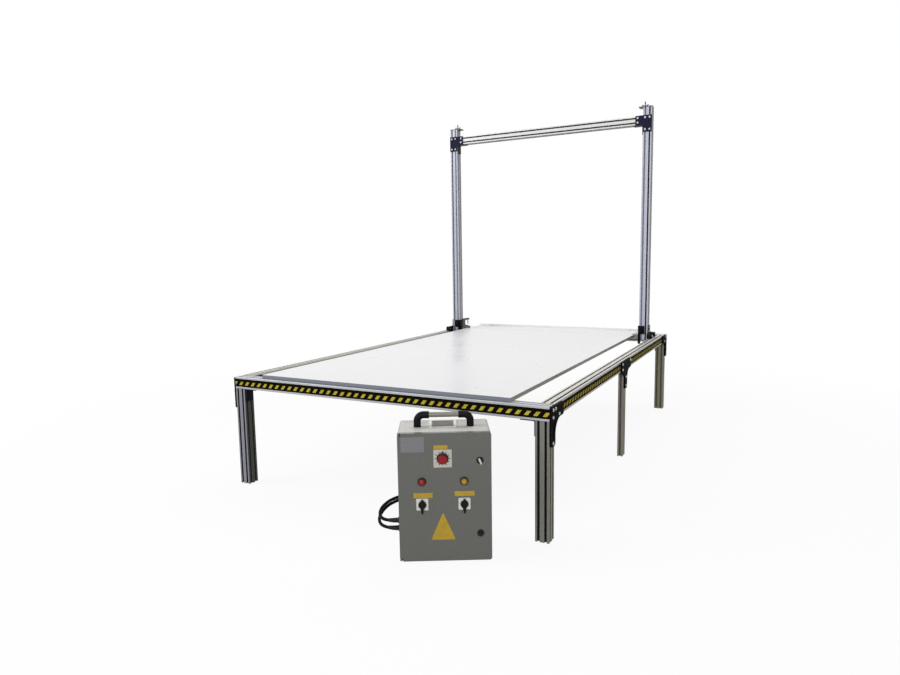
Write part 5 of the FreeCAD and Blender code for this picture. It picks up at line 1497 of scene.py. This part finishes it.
@dataclass(frozen=True)
class TensionSpring:
    """Close-wound spring that keeps the wire tight, with a loop at each end.

    Attributes:
        wire: Diameter of the spring wire.
        turns: Number of turns.
        each: Points for each turn.
        hook: Length of the loop at each end.
        bend: Part of the loop in which the wire comes in from the turns.
    """

    wire: float = 0.0011
    turns: int = 24
    each: int = 12
    hook: float = 0.004
    bend: float = 0.001

    def make(self) -> None:
        """Wind the spring in the place of its node."""
        low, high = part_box("tension_spring")
        x, y, _ = (low + high) / 2
        radius = (high.x - low.x) / 2 - self.wire / 2
        foot = low.z + self.hook
        top = high.z - self.hook
        points = [Vector((x, y, low.z)), Vector((x, y, foot - self.bend))]
        count = self.turns * self.each
        for number in range(count + 1):
            angle = 2 * math.pi * number / self.each
            points.append(Vector((x + radius * math.cos(angle), y + radius * math.sin(angle),
                                  foot + (top - foot) * number / count)))
        points += [Vector((x, y, top + self.bend)), Vector((x, y, high.z))]
        piece = BENCH.thread("wound_spring", points, 2, self.wire / 2, bevel=2)
        BENCH.link(piece, SPRING, "left_wire_carrier", "spring")
        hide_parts("tension_spring")


# ---------------------------------------------------------------- cabinet

@dataclass(frozen=True)
class DoorPanel:
    """Bare plates, labels and scales on the cabinet's door, its seal and its hinges' sleeves.

    Attributes:
        plate_rise: Thickness of the silver plate.
        label_rise: Thickness of a label.
        chamfer: Largest chamfer of a plate.
        dial: Cabinet X and height of the dial's middle.
        dial_proud: How far the dial's plate stands out.
        skirt_proud: How far the skirt of the dial's knob stands out.
        ticks: Spaces between the dial's ticks.
        numbers: Spaces between its numbers.
        first: Angle of the dial's first tick, in degrees.
        sweep: Angle from there to the last one, clockwise.
        tick_foot: Radius at which a tick starts.
        long_tick: Radius at which a long tick ends, and half its width.
        short_tick: The same for a short one.
        number_ring: Radius of the ring of numbers.
        number_height: Height of a number.
        ink: Thickness of the print.
    """

    plate_rise: float = 0.0012
    label_rise: float = 0.0004
    chamfer: float = 0.0004
    dial: Flat = (-0.007, 0.403)
    dial_proud: float = 0.0015
    skirt_proud: float = 0.0026
    ticks: int = 20
    numbers: int = 10
    first: float = 240.0
    sweep: float = 300.0
    tick_foot: float = 0.0228
    long_tick: Flat = (0.0278, 0.0014)
    short_tick: Flat = (0.0256, 0.0009)
    number_ring: float = 0.0307
    number_height: float = 0.0048
    ink: float = 0.00008

    def plates(self) -> None:
        """Fit the silver plate and the three yellow labels, all bare."""
        for name, left, right, low, high, rise, rounding, finish in (
                ("silver_plate", -0.163, -0.075, 0.428, 0.487, self.plate_rise, 0.002,
                 SILVER_PLATE),
                ("dial_label", -0.040, 0.012, 0.4395, 0.4535, self.label_rise, 0.001,
                 YELLOW_LABEL),
                ("left_switch_label", -0.118, -0.047, 0.2515, 0.271, self.label_rise, 0.001,
                 YELLOW_LABEL),
                ("right_switch_label", 0.036, 0.110, 0.2565, 0.275, self.label_rise, 0.001,
                 YELLOW_LABEL)):
            corners = BENCH.block((right - left) / 2, (high - low) / 2)
            chamfer = min(rise * 0.4, self.chamfer)
            shape = BENCH.slab(BENCH.outline(corners, rounding), rise, chamfer)
            BENCH.fit(name, shape, CABINET.on_face((left + right) / 2, (low + high) / 2), finish)

    def triangle(self) -> None:
        """Fit the bare yellow triangle."""
        corners = [(-0.046, -0.038), (0.046, -0.038), (0.0, 0.070)]
        shape = BENCH.slab(BENCH.outline(corners, 0.004), self.label_rise, 0.0001)
        BENCH.fit("yellow_triangle", shape, CABINET.on_face(-0.009, 0.125), YELLOW_LABEL)

    def spoke(self, share: float) -> Vector:
        """Return the direction from the dial's middle to a share of its sweep."""
        angle = math.radians(self.first - self.sweep * share)
        return Vector((math.cos(angle), math.sin(angle), 0.0))

    def scale(self) -> None:
        """Print the dial's ticks and numbers on its plate."""
        shape = bmesh.new()
        rise = Vector((0.0, 0.0, self.ink))
        for number in range(self.ticks + 1):
            tip, half = self.short_tick if number % 2 else self.long_tick
            spoke = self.spoke(number / self.ticks)
            inner, outer = spoke * self.tick_foot, spoke * tip
            side = Vector((-spoke.y, spoke.x, 0.0)) * half
            corners = [inner - side, outer - side, outer + side, inner + side]
            BENCH.skin(shape, [corners, [corner + rise for corner in corners]])
        place = CABINET.on_face(*self.dial, self.dial_proud)
        BENCH.fit("dial_ticks", shape, place, INK, smooth=False)
        for number in range(self.numbers + 1):
            spot = Matrix.Translation(self.spoke(number / self.numbers) * self.number_ring)
            self.figure(f"dial_figure_{number}", str(number), place @ spot)

    def figure(self, name: str, text: str, place: Matrix) -> None:
        """Print a number.

        Args:
            name: Name of the piece.
            text: The number.
            place: Placement of its middle.
        """
        data = bpy.data.curves.new(name, "FONT")
        data.body = text
        data.size = self.number_height
        data.align_x = "CENTER"
        data.align_y = "CENTER"
        data.extrude = self.ink / 2
        words = bpy.data.objects.new(name + "_outline", data)
        mesh = bpy.data.meshes.new_from_object(words)
        mesh.transform(place @ Matrix.Translation((0.0, 0.0, data.extrude)))
        bpy.data.objects.remove(words)
        bpy.data.curves.remove(data)
        BENCH.link(bpy.data.objects.new(name, mesh), INK, "door", "fittings")

    def pointer(self) -> None:
        """Fit the black pointer on the skirt of the dial's knob."""
        corners = [(-0.0058, 0.0172), (0.0058, 0.0172), (0.0016, 0.0272), (-0.0016, 0.0272)]
        shape = BENCH.slab(BENCH.outline(corners, 0.0004, 3), 0.0012, 0.0003)
        place = CABINET.on_face(*self.dial, self.skirt_proud)
        BENCH.fit("dial_pointer", shape, place, INK, "dial", "dial")

    def gasket(self) -> None:
        """Lay the rubber seal between the door and the housing's lip."""
        wide, tall, rim, thick, rounding = 0.1675, 0.242, 0.006, 0.0016, 0.008
        outer, inner = (
            BENCH.outline(BENCH.block(wide - inset, tall - inset), rounding - inset, 4)
            for inset in (0.0, rim))
        shape = bmesh.new()
        BENCH.skin(shape, [[(x, y, level) for x, y in ring] for ring, level in (
            (outer, 0.0), (outer, thick), (inner, thick), (inner, 0.0))], capped=False)
        place = CABINET.on_face(0.0025, 0.2515, -0.0179)
        BENCH.fit("door_gasket", shape, place, GASKET, "table", "vent")

    def sleeves(self) -> None:
        """Fit the hinges' fixed sleeves, flat where they meet the housing's side."""
        radius, flat, length, faces = 0.0075, -0.0037, 0.0122, 36
        angles = [2 * math.pi * number / faces for number in range(faces)]
        outline = [(max(radius * math.cos(angle), flat), radius * math.sin(angle))
                   for angle in angles]
        for name, level in (("lower", 0.0033), ("upper", 0.4874)):
            place = CABINET.matrix() @ Matrix.Translation((-0.171, 0.012, level))
            shape = BENCH.slab(outline, length, 0.0006)
            BENCH.fit(f"{name}_hinge_sleeve", shape, place, DOOR_COAT, "table", "hinge")

    def make(self) -> None:
        """Fit everything on the door."""
        self.plates()
        self.triangle()
        self.scale()
        self.pointer()
        self.gasket()
        self.sleeves()


# ---------------------------------------------------------------- making

def main() -> None:
    """Make the looks of the whole machine."""
    logging.basicConfig(level=logging.INFO, format="%(name)s: %(message)s")
    Studio().make()
    for cord in (MAINS, SUPPLY):
        cord.make()
    dress_nodes()
    TensionSpring().make()
    DoorPanel().make()


if __name__ == "__main__":
    main()
